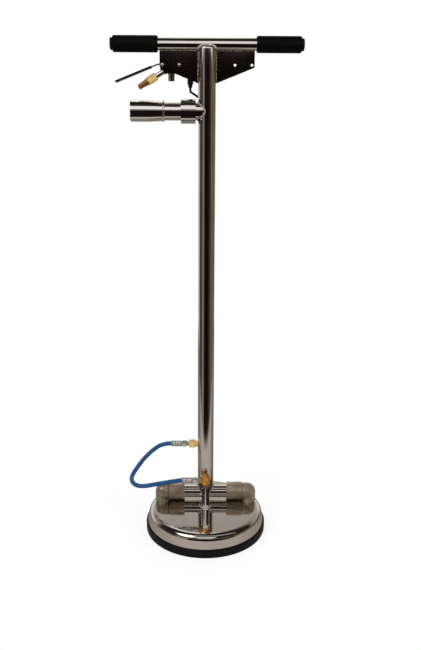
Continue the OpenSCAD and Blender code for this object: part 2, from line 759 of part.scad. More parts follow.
module cuff_bead() color("#dedbd5") at_cuff() rotate([0, -90, 0])
  translate([0, 0, sleeve_x - 2 * bead_r]) rotate_extrude() difference() {
    union() {
      square([pole_r + bead_rise - bead_r, 2 * bead_r]);
      translate([pole_r + bead_rise - bead_r, bead_r]) circle(r = bead_r);
    }
    translate([0, -over]) square([pole_r + seat_gap, 8]);
  }
module cuff_sleeve() color("#d5d2cc") at_cuff() rotate([0, -90, 0])
  rotate_extrude() difference() {
    polygon([[0, sleeve_x], [sleeve_in_r, sleeve_x], [mouth_r, sleeve_x + 30],
             [mouth_r, mouth_x - 2], [mouth_r - 0.7, mouth_x], [0, mouth_x]]);
    translate([0, mouth_x - mouth_depth]) square([mouth_bore_r, mouth_depth + over]);
    square([cuff_bore_r, mouth_x]);
  }

// --- water line ---
line_top = [-line_x, valve_y, outlet_foot - line_nut_len / 2];
line_bend = [-line_x, valve_y, line_bend_z];
line_inside = [-line_in_x, 0, line_inside_z];
module line_slant(r) at_bar() pipe(line_bend, line_inside, r);
module solution_line() color("#8e8c88") {
  at_bar() {
    pipe(line_bend, line_top, line_r);
    translate(line_bend) sphere(r = line_r + seat_gap / 2);
    translate(line_inside) sphere(r = line_r + seat_gap / 2);
  }
  line_slant(line_r);
  translate([-line_in_x, tilt_y, 0]) rod_z(outlet_z + 4, bar_z + line_inside_z, line_r);
}
module line_nut() color("#b9b5ad") at_bar() translate([-line_x, valve_y, 0]) difference() {
  union() {
    hex_z(outlet_foot - 10, outlet_foot, line_nut_af);
    rod_z(outlet_foot - line_nut_len, outlet_foot - 10, line_nut_af / 2 - 1);
  }
  rod_z(outlet_foot - line_nut_len - over, outlet_foot - line_nut_len / 2,
        line_r + seat_gap);
  rod_z(outlet_foot - line_nut_len, outlet_foot + over, water_r);
}
module pole_outlet() color("#c9973f") at_upper() difference() {
  union() {
    rod_x(-pole_r - 1, -line_in_x, outlet_shank_r);
    rod_x(-pole_r - outlet_neck - 1, -pole_r - 0.1, outlet_neck_r);
    hex_x(-bulkhead_x, -pole_r - outlet_neck, outlet_nut_af);
    translate([-line_in_x, 0, 0]) rod_z(-6, 8, outlet_shank_r);
  }
  rod_x(-bulkhead_x - over, -line_in_x, water_r);
  translate([-line_in_x, 0, 0]) {
    rod_z(0, 8, water_r);
    rod_z(4 - 0.1, 8 + over, line_r + seat_gap);
  }
}
module bleed_at() at_bar() translate([0, 0, bleed_z]) rotate([0, 0, bleed_angle])
  children();
module bleed_screw() color("#dedbd5") bleed_at() {
  rod_x(pole_bore_r - 2, pole_r + 0.4, bleed_shank_r);
  rod_x(pole_r + 0.4, pole_r + 4, bleed_head_r);
}

// --- valve, all behind the left gusset ---
module valve_body() color("#3a3836") difference() {
  union() {
    at_bar() {
      block([-block_x, valve_y0, valve_foot], [-outlet_x0, valve_y1, valve_top]);
      block([-plunger_x - guide_wall, valve_y0 + 1, valve_foot],
            [-block_x, valve_y1, guide_top]);
      block([-hole_out_x - ear_out, valve_y1 - ear_t, -hole_z - ear_down],
            [-block_x, valve_y1, -hole_z + ear_up]);
      translate([-line_x, valve_y, 0]) rod_z(outlet_foot, valve_foot, 6);
    }
    on_inlet() rod_x(-4, boss_len, boss_r);
  }
  at_bar() {
    translate([-plunger_x, valve_y, 0]) {
      rod_z(valve_foot, guide_top + over, plunger_r + run_gap);
      rod_z(valve_foot - over, guide_end, chamber_r);
    }
    translate([-line_x, valve_y, 0]) rod_z(outlet_foot - over, guide_end, water_r);
    translate([0, valve_y, guide_end - water_r]) rod_x(-plunger_x, -line_x, water_r);
    translate([-hole_in_x, 0, -hole_z]) rod_y(0, valve_y, hole_r - 0.2);
    at_pivot() rod_y(valve_y, valve_y1 + over, hole_r);
  }
  on_inlet() {
    rod_x(boss_len - nipple_tail, boss_len + over, nipple_tail_r + seat_gap);
    rod_x(-8, boss_len, water_r);
  }
}
module valve_bolt() color("#c4c0b8") at_bar() translate([-hole_in_x, 0, -hole_z]) {
  rod_y(-valve_y0, valve_y - 1, hole_r - 0.25);
  rod_y(-valve_y0 - bolt_head_h, -valve_y0, bolt_head_r);
}
module valve_cap() color("#b9b5ad") at_bar() translate([-plunger_x, valve_y, 0])
  difference() {
    rod_z(valve_foot - cap_len, valve_foot, cap_r);
    rod_z(spring_foot, valve_foot + over, chamber_r);
  }
module inlet_nipple() color("#d5d2cc") on_inlet() difference() {
  union() {
    rod_x(boss_len - nipple_tail + seat_gap, boss_len + nipple_len + nipple_tail,
          nipple_tail_r);
    rod_x(boss_len, boss_len + nipple_len, nipple_r);
  }
  rod_x(-over, boss_len + nipple_len + nipple_tail + over, water_r);
}
module plug_body() color("#d8a848") on_inlet() difference() {
  hex_x(boss_len + nipple_len, boss_len + nipple_len + plug_len, plug_af);
  rod_x(0, boss_len + nipple_len + nipple_tail, nipple_tail_r + seat_gap);
  rod_x(0, boss_len + nipple_len + plug_len + over, water_r);
}
module plug_nose() color("#8a5a35") on_inlet()
  translate([boss_len + nipple_len + plug_len, 0, 0]) rotate([0, 90, 0])
    rotate_extrude() difference() {
      polygon([[0, 0], [nose_r, 0], [nose_r, nose_band], [nose_r - 0.8, nose_band + 0.8],
               [nose_tip_r + 0.7, nose_len - nose_tip_len],
               [nose_tip_r, nose_len - nose_tip_len], [nose_tip_r, nose_len], [0, nose_len]]);
      square([water_r, nose_len]);
    }
module pivot_bolt() color("#c4c0b8") at_bar() at_pivot() {
  rod_y(-valve_y0, valve_y1 + nut_h + 1, pin_r);
  rod_y(-valve_y0 - bolt_head_h, -valve_y0, bolt_head_r);
}
module pivot_nuts() color("#b9b5ad") at_bar() at_pivot()
  for (y = [[valve_y0, lever_y - lever_w / 2 - end_gap], [valve_y1, valve_y1 + nut_h]])
    difference() {
      translate([0, y[1], 0]) rotate([90, 0, 0])
        cylinder(h = y[1] - y[0], r = nut_af / 2 / cos(30), $fn = 6);
      rod_y(y[0] - over, y[1] + over, pin_r + seat_gap);
    }

// --- trigger lever: a bent plate on a rolled barrel, with a sleeve on its arm ---
module lever_frame() at_bar() at_pivot() translate([0, lever_y, 0])
  rotate([0, -lever_slope, 0]) translate([0, 0, plate_lift]) children();
module lever_outer() lever_frame() translate([-lever_step, 0, 0])
  rotate([0, -lever_bend, 0]) children();
// the lever's side: the outer arm meets the inner one in a mitre
module lever_side() {
  half = lever_t / 2;
  mitre = half * tan(lever_bend / 2);
  along = [cos(lever_bend), sin(lever_bend)];
  across = [-sin(lever_bend), cos(lever_bend)];
  elbow_at = [-lever_step, 0];
  polygon([[lever_inner, half], elbow_at + [-mitre, half],
           elbow_at - lever_arm * along + half * across,
           elbow_at - lever_arm * along - half * across,
           elbow_at + [mitre, -half], [lever_inner, -half]]);
}
module trigger_lever() color("#1f1e1d") at_bar() at_pivot()
  translate([0, lever_y + lever_w / 2, 0]) rotate([90, 0, 0]) linear_extrude(lever_w)
  difference() {
    union() {
      rotate(lever_slope) translate([0, plate_lift]) lever_side();
      circle(barrel_r);
    }
    circle(hole_r);
  }
module lever_sleeve() color("#141414") lever_outer() difference() {
  block([-lever_arm - 1.5, -lever_w / 2 - 1, -sleeve_t / 2],
        [-sleeve_start, lever_w / 2 + 1, sleeve_t / 2]);
  block([-lever_arm - seat_gap, -lever_w / 2 - seat_gap, -lever_t / 2 - seat_gap],
        [over - sleeve_start, lever_w / 2 + seat_gap, lever_t / 2 + seat_gap]);
}
module valve_plunger() color("#c4c0b8") at_bar() translate([-plunger_x, valve_y, 0]) {
  rod_z(piston_z, plunger_top, plunger_r);
  rod_z(piston_z, piston_z + piston_h, chamber_r - 2 * run_gap);
}
module plunger_spring() color("#8e8c88") at_bar() translate([-plunger_x, valve_y, 0]) {
  low = spring_foot + spring_wire;
  high = piston_z - spring_wire;
  steps = 12;
  sweep([for (i = [0:steps * spring_turns]) let (a = 360 * i / steps)
          [(chamber_r - 1.2) * cos(a), (chamber_r - 1.2) * sin(a),
           low + (high - low) * i / steps / spring_turns]],
        spring_wire, 6, [0, 0, 1]);
}

rubber_ring();
head_shell();
elbow_left();
elbow_right();
collar_left();
collar_right();
tilt_seals();
swivel_stem();
stem_flange();
spindle_locknut();
inlet_nut();
inlet_elbow();
lower_adapter();
lower_hose_nut();
lower_ferrule();
jumper_hose();
rotor_hub();
upper_bearing();
lower_bearing();
hub_seals();
spray_arms();
spray_nozzles();
rotor_washer();
rotor_nut();
cross_tube();
main_pole();
vacuum_stub();
handlebar();
grip_left();
grip_right();
bar_end_plugs();
gusset_left();
gusset_right();
swivel_collar();
collar_ring_nut();
cuff_seal();
collar_set_screws();
cuff_tube();
cuff_bead();
cuff_sleeve();
solution_line();
line_nut();
pole_outlet();
upper_adapter();
upper_hose_nut();
upper_ferrule();
bleed_screw();
valve_body();
valve_bolt();
valve_cap();
inlet_nipple();
plug_body();
plug_nose();
pivot_bolt();
pivot_nuts();
trigger_lever();
lever_sleeve();
valve_plunger();
plunger_spring();
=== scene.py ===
# %% [markdown]
# # A hard-surface spinner
# This tool washes tiles and concrete. Water under pressure drives a spray rotor
# under the round steel pan, and a vacuum draws the dirty water up the wand.
# The shapes come from a CAD part, which is loaded here as a fixed frame.
# What Blender adds is what CAD leaves out: weld beads, crimped hose ends,
# screw threads, a smooth hose and a finish for every surface.

import json
import math

import bmesh
import bpy
from mathutils import Matrix, Vector


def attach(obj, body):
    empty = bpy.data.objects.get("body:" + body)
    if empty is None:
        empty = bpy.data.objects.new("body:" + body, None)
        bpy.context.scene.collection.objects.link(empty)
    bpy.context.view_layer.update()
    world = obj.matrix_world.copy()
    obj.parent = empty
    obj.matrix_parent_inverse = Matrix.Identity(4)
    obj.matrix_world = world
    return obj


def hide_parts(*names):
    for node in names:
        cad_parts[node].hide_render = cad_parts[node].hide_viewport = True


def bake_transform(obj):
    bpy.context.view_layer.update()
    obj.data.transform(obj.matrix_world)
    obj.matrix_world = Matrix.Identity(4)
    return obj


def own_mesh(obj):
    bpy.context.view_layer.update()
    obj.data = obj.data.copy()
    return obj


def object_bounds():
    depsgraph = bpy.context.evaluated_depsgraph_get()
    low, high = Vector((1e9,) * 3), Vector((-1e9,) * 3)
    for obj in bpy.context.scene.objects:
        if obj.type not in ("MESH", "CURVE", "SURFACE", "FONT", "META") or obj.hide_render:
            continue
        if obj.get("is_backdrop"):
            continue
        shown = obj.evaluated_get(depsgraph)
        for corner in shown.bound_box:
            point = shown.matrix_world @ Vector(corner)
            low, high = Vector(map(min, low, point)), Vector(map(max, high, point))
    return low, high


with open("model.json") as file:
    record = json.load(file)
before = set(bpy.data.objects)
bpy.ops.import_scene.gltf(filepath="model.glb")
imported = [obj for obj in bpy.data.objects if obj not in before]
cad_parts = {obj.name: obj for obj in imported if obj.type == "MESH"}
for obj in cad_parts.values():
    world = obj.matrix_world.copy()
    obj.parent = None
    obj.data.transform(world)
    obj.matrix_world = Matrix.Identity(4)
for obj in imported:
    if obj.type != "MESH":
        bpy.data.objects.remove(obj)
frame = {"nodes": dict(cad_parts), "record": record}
nodes = frame["nodes"]
cad_low, cad_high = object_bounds()
print("nodes", len(nodes), "height in mm", round((cad_high.z - cad_low.z) * 1000))

# %% [markdown]
# ## Sizes
# The CAD source is in millimetres and Blender works in metres, so one helper
# turns a length or a point. The main axes of the tool are named once: the
# hinge of the wand, the handlebar and the vacuum cuff, with the radii of the tubes and the pan's
# deck.


# %% Main axes of the tool
def mm(*lengths):
    metres = tuple(v / 1000 for v in lengths)
    return metres[0] if len(metres) == 1 else metres


HINGE_Y, HINGE_Z = 33.0, 75.5
BAR_Z, CUFF_Z = 1113.0, 978.0
POLE_R, CROSS_R, STUB_R = 19.05, 15.9, 18.7
DECK_Z, DECK_R = 53.5, 121.5
print("wand length in mm", BAR_Z - HINGE_Z)

# %% [markdown]
# ## Camera
# The camera stands a pace and a half in front of the tool, at the height of
# the vacuum cuff, and looks down by sixteen degrees. From here the top of the
# pan is seen as a narrow ellipse. The lens is an ordinary one of 40 mm, and
# the pole narrows towards its foot, which is further away.

# %% Camera
CAMERA_AT = (-3.0, -1568.8, 959.6)
CAMERA_YAW, CAMERA_DOWN, CAMERA_ROLL = 0.469, 15.905, 0.322
CAMERA_LENS = 39.73

camera_data = bpy.data.cameras.new("camera")
camera_data.lens = CAMERA_LENS
camera = bpy.data.objects.new("camera", camera_data)
bpy.context.scene.collection.objects.link(camera)
yaw, down, roll = (math.radians(v) for v in (CAMERA_YAW, CAMERA_DOWN, CAMERA_ROLL))
look = Vector(
    (math.sin(yaw) * math.cos(down), math.cos(yaw) * math.cos(down), -math.sin(down))
)
level = Vector((math.cos(yaw), -math.sin(yaw), 0))
upright = level.cross(look)
right = math.cos(roll) * level + math.sin(roll) * upright
top = math.cos(roll) * upright - math.sin(roll) * level
camera.matrix_world = Matrix.Translation(Vector(mm(*CAMERA_AT))) @ Matrix(
    (right, top, -look)
).transposed().to_4x4()
bpy.context.scene.camera = camera
print("camera distance in mm", round(Vector(CAMERA_AT).length))

# %% [markdown]
# ## Helpers for colours and nodes
# Colours are written as sRGB hex, as a colour picker gives them. Blender's
# shaders want linear light, so one function converts them. Another adds a
# node with its inputs and settings in one line. An input is a plain value or
# the socket that feeds it, so a line reads like the node does on the screen.


# %% Colour and node helpers
def linear(code):
    """An sRGB hex colour in linear light, with full opacity."""
    channels = []
    for start in (0, 2, 4):
        value = int(code[start : start + 2], 16) / 255
        channels.append(value / 12.92 if value <= 0.04045 else ((value + 0.055) / 1.055) ** 2.4)
    return (*channels, 1.0)


def add(tree, kind, inputs=None, **settings):
    """Adds a node. Each input is a plain value, or the socket that feeds it."""
    node = tree.nodes.new(kind)
    for name, value in settings.items():
        setattr(node, name, value)
    for name, value in (inputs or {}).items():
        if isinstance(value, bpy.types.NodeSocket):
            tree.links.new(value, node.inputs[name])
        else:
            node.inputs[name].default_value = value
    return node


def new_material(name):
    material = bpy.data.materials.new(name)
    material.use_nodes = True
    material.node_tree.nodes.clear()
    return material, material.node_tree


# A colour mix keeps its share, its two colours and its result in these places.
MIX_SHARE, MIX_FIRST, MIX_SECOND, MIX_RESULT = 0, 6, 7, 2


def solid_surface(tree, colour, rough, grain, bump, values):
    """Ends a material in a surface whose bump is a strength and a height in metres."""
    inputs = {"Strength": bump[0], "Distance": bump[1], "Height": grain}
    normal = add(tree, "ShaderNodeBump", inputs).outputs["Normal"]
    inputs = {**values, "Base Color": colour, "Roughness": rough, "Normal": normal}
    shader = add(tree, "ShaderNodeBsdfPrincipled", inputs)
    add(tree, "ShaderNodeOutputMaterial", {"Surface": shader.outputs["BSDF"]})


print("white in linear light", linear("FFFFFF")[:3])

# %% [markdown]
# ## Metal finishes
# Every metal here is one recipe with other numbers: a metallic surface whose
# roughness drifts slowly, as handling and polishing leave it, whose colour is
# a little darker in patches, and whose fine bump comes from the way it was
# made. The grain is given in millimetres. A direction stretches it, which
# turns round grains into the long scratches of a brushed or drawn surface.
# Plated, blasted and worn metal also carries a thin dull film of oxide and
# handling. The film's share scatters light evenly, the rest still mirrors.


# %% Metal recipe
METAL_BUMP = 0.0002


def metal(
    name, colours, roughness, drift, grain_mm, depth,
    stretch=(1, 1, 1), smudge_mm=70, amount=0.5, film=0.0,
):
    """A metal from its main and patch colour, its roughness and how far that drifts."""
    material, tree = new_material(name)
    place = add(tree, "ShaderNodeTexCoord").outputs["Object"]
    inputs = {"Scale": 1000 / smudge_mm, "Detail": 3.0, "Vector": place}
    patches = add(tree, "ShaderNodeTexNoise", inputs).outputs["Fac"]
    inputs = {"From Min": 0.35, "From Max": 0.75, "To Max": amount, "Value": patches}
    share = add(tree, "ShaderNodeMapRange", inputs).outputs["Result"]
    main, patch = linear(colours[0]), linear(colours[1])
    inputs = {MIX_SHARE: share, MIX_FIRST: main, MIX_SECOND: patch}
    tint = add(tree, "ShaderNodeMix", inputs, data_type="RGBA").outputs[MIX_RESULT]
    rough = add(tree, "ShaderNodeMapRange", {
        "From Min": 0.3,
        "From Max": 0.7,
        "To Min": roughness - drift,
        "To Max": roughness + drift,
        "Value": patches,
    }).outputs["Result"]
    along = add(tree, "ShaderNodeMapping", {"Scale": stretch, "Vector": place})
    inputs = {"Scale": 1000 / grain_mm, "Detail": 2.0, "Vector": along.outputs["Vector"]}
    grain = add(tree, "ShaderNodeTexNoise", inputs).outputs["Fac"]
    solid_surface(tree, tint, rough, grain, (depth, METAL_BUMP), {"Metallic": 1.0 - film})
    return material


# Polished 304 stainless tube: nearly a mirror, with long faint draw lines.
polished_tube = metal(
    "polished_stainless_tube", ("D6D1CA", "BDB6AC"), 0.075, 0.03, 3.0, 0.03,
    stretch=(1, 1, 0.05),
)
# Spun and polished stainless sheet: a mirror with a slow waviness.
spun_sheet = metal("spun_stainless_sheet", ("D3CDC4", "BEB7AB"), 0.07, 0.025, 30.0, 0.06)
# Bright chrome plate on machined brass: whiter than stainless, with softer edges.
chrome_plate = metal("bright_chrome_plate", ("E2DFDA", "CBC7C0"), 0.09, 0.03, 14.0, 0.03)
# Investment-cast stainless, bead blasted: soft warm highlights on a fine grain.
blasted_casting = metal(
    "blasted_stainless_casting", ("B4A590", "85776A"), 0.38, 0.06, 0.8, 0.2,
    smudge_mm=22, amount=0.8, film=0.27,
)
# Zinc plated steel: pale grey, slightly clouded.
zinc_plate = metal(
    "zinc_plated_steel", ("DAD8D3", "B1AEA7"), 0.28, 0.08, 0.9, 0.06,
    smudge_mm=9, amount=0.8, film=0.2,
)
# Turned brass: pale and warm, with the fine grain that the tool leaves.
turned_brass = metal(
    "turned_brass", ("FFE2A0", "E8B868"), 0.31, 0.07, 0.7, 0.06,
    smudge_mm=10, amount=0.7, film=0.45,
)
# Painted-shade brass: the turned brass alloy painted darker and deeper in colour as painted shade,
# for the lower elbow, which gets less light. It is browned in random patches.
painted_shade_brass = metal(
    "painted_shade_brass", ("E0A052", "96602A"), 0.27, 0.07, 0.7, 0.06,
    smudge_mm=8, amount=0.7, film=0.25,
)
# Browned brass: an oxidised plug end that has been in use.
browned_brass = metal(
    "browned_brass", ("B87A4C", "6A4326"), 0.3, 0.08, 0.8, 0.1,
    smudge_mm=6, amount=0.9, film=0.25,
)
# Laser-cut stainless plate, mirror finish. Its colour is painted darker than the tube's as painted
# shade, and reddish in patches as a painted reflection.
mirror_plate = metal(
    "mirror_stainless_plate", ("A49A92", "6E5A50"), 0.09, 0.03, 25.0, 0.05,
    smudge_mm=45, amount=0.8,
)
# Stainless weld metal: bright, rippled and a little rough.
weld_metal = metal(
    "stainless_weld_metal", ("E3DED5", "A39A8C"), 0.3, 0.08, 0.6, 0.15,
    smudge_mm=5, amount=0.6, film=0.3,
)
# Black oxide on steel: dark, with a dull metallic sheen.
black_oxide = metal(
    "black_oxide_steel", ("34312E", "1F1D1B"), 0.33, 0.08, 0.7, 0.3, smudge_mm=10
)
print("metal finishes", len(bpy.data.materials))

# %% [markdown]
# ## Rubber, foam and plastic
# The dark soft parts are one more recipe: a black that isn't quite black, a
# roughness for each way of making it, and a bump for its pores or its skin.
# The bumper of the pan is smooth moulded rubber, the grips are closed-cell
# foam, the hose is a blue thermoplastic jacket.


# %% Polymer recipe
POLYMER_BUMP, POLYMER_DRIFT = 0.0003, 0.06


def polymer(
    name, colours, roughness, grain_mm, depth, shine,
    cells=False, smudge_mm=20, amount=0.6,
):
    """A rubber, foam or plastic from its main and worn colour. Foam has cells for grain."""
    material, tree = new_material(name)
    place = add(tree, "ShaderNodeTexCoord").outputs["Object"]
    inputs = {"Scale": 1000 / smudge_mm, "Detail": 4.0, "Vector": place}
    patches = add(tree, "ShaderNodeTexNoise", inputs).outputs["Fac"]
    inputs = {"From Min": 0.4, "From Max": 0.8, "To Max": amount, "Value": patches}
    share = add(tree, "ShaderNodeMapRange", inputs).outputs["Result"]
    main, worn = linear(colours[0]), linear(colours[1])
    inputs = {MIX_SHARE: share, MIX_FIRST: main, MIX_SECOND: worn}
    tint = add(tree, "ShaderNodeMix", inputs, data_type="RGBA").outputs[MIX_RESULT]
    smooth, coarse = roughness - POLYMER_DRIFT, roughness + POLYMER_DRIFT
    inputs = {"To Min": smooth, "To Max": coarse, "Value": patches}
    rough = add(tree, "ShaderNodeMapRange", inputs).outputs["Result"]
    if cells:
        inputs = {"Scale": 1000 / grain_mm, "Vector": place}
        grain = add(tree, "ShaderNodeTexVoronoi", inputs).outputs["Distance"]
    else:
        inputs = {"Scale": 1000 / grain_mm, "Detail": 2.0, "Vector": place}
        grain = add(tree, "ShaderNodeTexNoise", inputs).outputs["Fac"]
    solid_surface(tree, tint, rough, grain, (depth, POLYMER_BUMP), {"Specular IOR Level": shine})
    return material


# Moulded EPDM rubber: deep black with a soft sheen.
bumper_rubber = polymer("moulded_epdm_rubber", ("0A0A0A", "131312"), 0.45, 1.2, 0.1, 0.12)
# Nitrile foam grip: matt black, with pores drawn a millimetre wide.
grip_foam = polymer("nitrile_grip_foam", ("040404", "080808"), 0.5, 1.0, 0.2, 0.08, cells=True)
# Moulded polythene end plug: smooth and black.
end_plug = polymer("moulded_polythene", ("090909", "121212"), 0.36, 2.0, 0.05, 0.15)
# Dipped vinyl on the lever: black, almost glossy.
dipped_vinyl = polymer("dipped_vinyl", ("090909", "111111"), 0.3, 3.0, 0.08, 0.2)
# Extruded blue hose jacket: satin, with the faint print of the braid beneath it.
hose_jacket = polymer(
    "blue_hose_jacket", ("154C7C", "113F68"), 0.34, 2.2, 0.1, 0.35, smudge_mm=12
)
# Synthetic seal rubber inside the joints.
seal_rubber = polymer("nitrile_seal_rubber", ("0E0E0E", "1A1918"), 0.45, 1.5, 0.1, 0.2)
print("all finishes", len(bpy.data.materials))

# %% [markdown]
# ## Give each CAD piece its finish
# The record that comes with the part says which material slot each node uses.
# A table turns a slot into one of the finishes above, so that no node is
# missed and the names stay in one place.

# %% Finishes by slot
SLOT_FINISH = {
    "polished_steel": polished_tube,
    "chrome_fitting": chrome_plate,
    "satin_steel": blasted_casting,
    "plated_steel": zinc_plate,
    "brass": turned_brass,
    "copper_brass": browned_brass,
    "gusset_steel": mirror_plate,
    "black_rubber": bumper_rubber,
    "grip_foam": grip_foam,
    "plug_plastic": end_plug,
    "black_steel": black_oxide,
    "lever_vinyl": dipped_vinyl,
    "blue_hose": hose_jacket,
}
slot_of = {row["node"]: row["material_slot"] for row in frame["record"]["subparts"]}
for name, node in nodes.items():
    finish = SLOT_FINISH[slot_of[name]]
    if name == "head_shell":
        finish = spun_sheet
    elif name == "inlet_elbow":
        # The lower brass elbow takes brass painted darker, as painted shade.
        finish = painted_shade_brass
    elif name == "valve_cap":
        finish = polished_tube
    elif name in ("solution_line", "line_nut"):
        finish = black_oxide
    elif name in ("tilt_seals", "hub_seals", "cuff_seal"):
        finish = seal_rubber
    node.data.materials.clear()
    node.data.materials.append(finish)
print("finished nodes", len(slot_of))

# %% [markdown]
# ## Profile of the pan
# The pan is spun from one disc of steel: a flat deck, a round shoulder and a
# wall that leans in by ten degrees. Welds sit on it, so its height at a
# distance from the middle is worked out once from the same arc and slope.

# %% Height of the pan
SHOULDER_R, SHOULDER_Z, WALL_LEAN = 15.8, 37.7, math.radians(10)
WALL_R, WALL_Z = 140.5, 21.0


def pan_height(reach):
    """Height of the pan's top in mm at a distance from its middle."""
    if reach <= DECK_R:
        return DECK_Z
    if reach <= DECK_R + SHOULDER_R * math.cos(WALL_LEAN):
        return SHOULDER_Z + math.sqrt(SHOULDER_R**2 - (reach - DECK_R) ** 2)
    return WALL_Z + (WALL_R - reach) / math.tan(WALL_LEAN)


print("height at the rim and at the skirt", round(pan_height(125), 1), round(pan_height(140.4), 1))

# %% [markdown]
# ## Lathe and tube helpers
# Round parts are turned from a profile: a list of distances along an axis and
# radii. Spinning the profile gives a closed skin, whose normals are then
# recalculated to point outwards. A frame for the axis places the turned part.


# %% Turning and placing
def axis_frame(at, along):
    """A matrix that puts a part made along +Z at a point, along a direction."""
    turn = Vector(along).normalized().to_track_quat("Z", "Y").to_matrix().to_4x4()
    return Matrix.Translation(Vector(mm(*at))) @ turn


def placed(name, data):
    """A new object for a mesh or a lamp, in the scene."""
    thing = bpy.data.objects.new(name, data)
    bpy.context.scene.collection.objects.link(thing)
    return thing


def finish_piece(name, mesh, finish, body, sharp):
    """Names a mesh, smooths it except at sharp edges, and lets it ride on a body."""
    mesh.name = name
    mesh.materials.clear()
    mesh.materials.append(finish)
    for face in mesh.polygons:
        face.use_smooth = True
    mesh.set_sharp_from_angle(angle=math.radians(sharp))
    piece = placed(name, mesh)
    if body:
        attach(piece, body)
    return piece


def spun_ring(work, place, along, radius, steps):
    """Points round the axis of a place, at a distance along it, in millimetres."""
    ring = []
    for k in range(steps):
        a = 2 * math.pi * k / steps
        point = Vector((mm(radius) * math.cos(a), mm(radius) * math.sin(a), mm(along)))
        ring.append(work.verts.new(place @ point))
    return ring


def stitch(work, rings):
    """Joins rings of one size with faces, and closes both ends."""
    for ring, following in zip(rings, rings[1:]):
        for k in range(len(ring)):
            j = (k + 1) % len(ring)
            work.faces.new((ring[k], ring[j], following[j], following[k]))
    work.faces.new(rings[0])
    work.faces.new(rings[-1])


def closed_mesh(work, name):
    """Turns the faces of a closed skin outwards and makes it a mesh."""
    bmesh.ops.recalc_face_normals(work, faces=work.faces)
    mesh = bpy.data.meshes.new(name)
    work.to_mesh(mesh)
    work.free()
    return mesh


def baked_mesh(maker):
    """The mesh that the modifiers of an object make. The object itself goes."""
    bpy.context.view_layer.update()
    seen_by = bpy.context.evaluated_depsgraph_get()
    mesh = bpy.data.meshes.new_from_object(maker.evaluated_get(seen_by))
    bpy.data.objects.remove(maker)
    return mesh


TURNED_STEPS = 48


def turned(name, profile, place, finish, body, sharp=32):
    """Spins (distance, radius) pairs in millimetres. A radius of 0 closes an end."""
    work = bmesh.new()
    rings = []
    for along, radius in profile:
        if radius == 0:
            rings.append([work.verts.new(place @ Vector((0, 0, mm(along))))])
        else:
            rings.append(spun_ring(work, place, along, radius, TURNED_STEPS))
    for ring, following in zip(rings, rings[1:]):
        for i in range(TURNED_STEPS):
            j = (i + 1) % TURNED_STEPS
            corners = [ring[i % len(ring)], ring[j % len(ring)]]
            corners += [following[j % len(following)], following[i % len(following)]]
            corners = list(dict.fromkeys(corners))
            if len(corners) > 2:
                work.faces.new(corners)
    return finish_piece(name, closed_mesh(work, name), finish, body, sharp)


print("points in a turned ring", TURNED_STEPS)

# %% [markdown]
# ## Weld beads
# The frame is welded by hand, and each joint shows a row of small overlapping
# ripples. A path round the joint is enough for Geometry Nodes: points are
# spread along it at the pitch of the ripples, a flattened ball is put on each
# one, turned along the path, and its size varies a little, as a welder's hand does.


# %% Node group helpers
def new_group(name, inputs, output):
    """A node group, the sockets that its inputs give, and each input's key."""
    group = bpy.data.node_groups.new(name, "GeometryNodeTree")
    keys = {}
    for label, kind in inputs.items():
        socket = group.interface.new_socket(label, in_out="INPUT", socket_type=kind)
        keys[label] = socket.identifier
    group.interface.new_socket(output, in_out="OUTPUT", socket_type="NodeSocketGeometry")
    return group, group.nodes.new("NodeGroupInput").outputs, keys


def output_in(group, instances, finish):
    """Makes instances real, gives them a finish and ends the group."""
    real = add(group, "GeometryNodeRealizeInstances", {0: instances}).outputs[0]
    coated = add(group, "GeometryNodeSetMaterial", {"Geometry": real, "Material": finish})
    add(group, "NodeGroupOutput", {0: coated.outputs[0]})


def grown(name, seed_mesh, group, keys, values):
    """The mesh that a node group makes from a mesh, with its inputs set."""
    maker = placed(name + "_maker", seed_mesh)
    modifier = maker.modifiers.new(group.name, "NODES")
    modifier.node_group = group
    for label, value in values.items():
        modifier[keys[label]] = value
    return baked_mesh(maker)


print("node groups so far", len(bpy.data.node_groups))


# %% Weld bead tree
def weld_tree():
    group, given, keys = new_group("weld_bead", {
        "Path": "NodeSocketGeometry",
        "Pitch": "NodeSocketFloat",
        "Width": "NodeSocketFloat",
        "Height": "NodeSocketFloat",
        "Seed": "NodeSocketInt",
        "Finish": "NodeSocketMaterial",
    }, "Bead")
    curve = add(group, "GeometryNodeMeshToCurve", {"Mesh": given["Path"]})
    inputs = {"Curve": curve.outputs[0], "Length": given["Pitch"]}
    points = add(group, "GeometryNodeCurveToPoints", inputs, mode="LENGTH")
    ball = add(group, "GeometryNodeMeshIcoSphere", {"Radius": 1.0, "Subdivisions": 2})
    inputs = {2: 0.82, 3: 1.15, "Seed": given["Seed"]}
    size = add(group, "FunctionNodeRandomValue", inputs, data_type="FLOAT")
    inputs = {"X": given["Height"], "Y": given["Width"], "Z": given["Height"]}
    shape = add(group, "ShaderNodeCombineXYZ", inputs)
    inputs = {0: shape.outputs[0], "Scale": size.outputs[1]}
    scaled = add(group, "ShaderNodeVectorMath", inputs, operation="SCALE")
    beads = add(group, "GeometryNodeInstanceOnPoints", {
        "Points": points.outputs["Points"],
        "Instance": ball.outputs["Mesh"],
        "Rotation": points.outputs["Rotation"],
        "Scale": scaled.outputs[0],
    })
    output_in(group, beads.outputs[0], given["Finish"])
    return group, keys


WELD, WELD_KEYS = weld_tree()


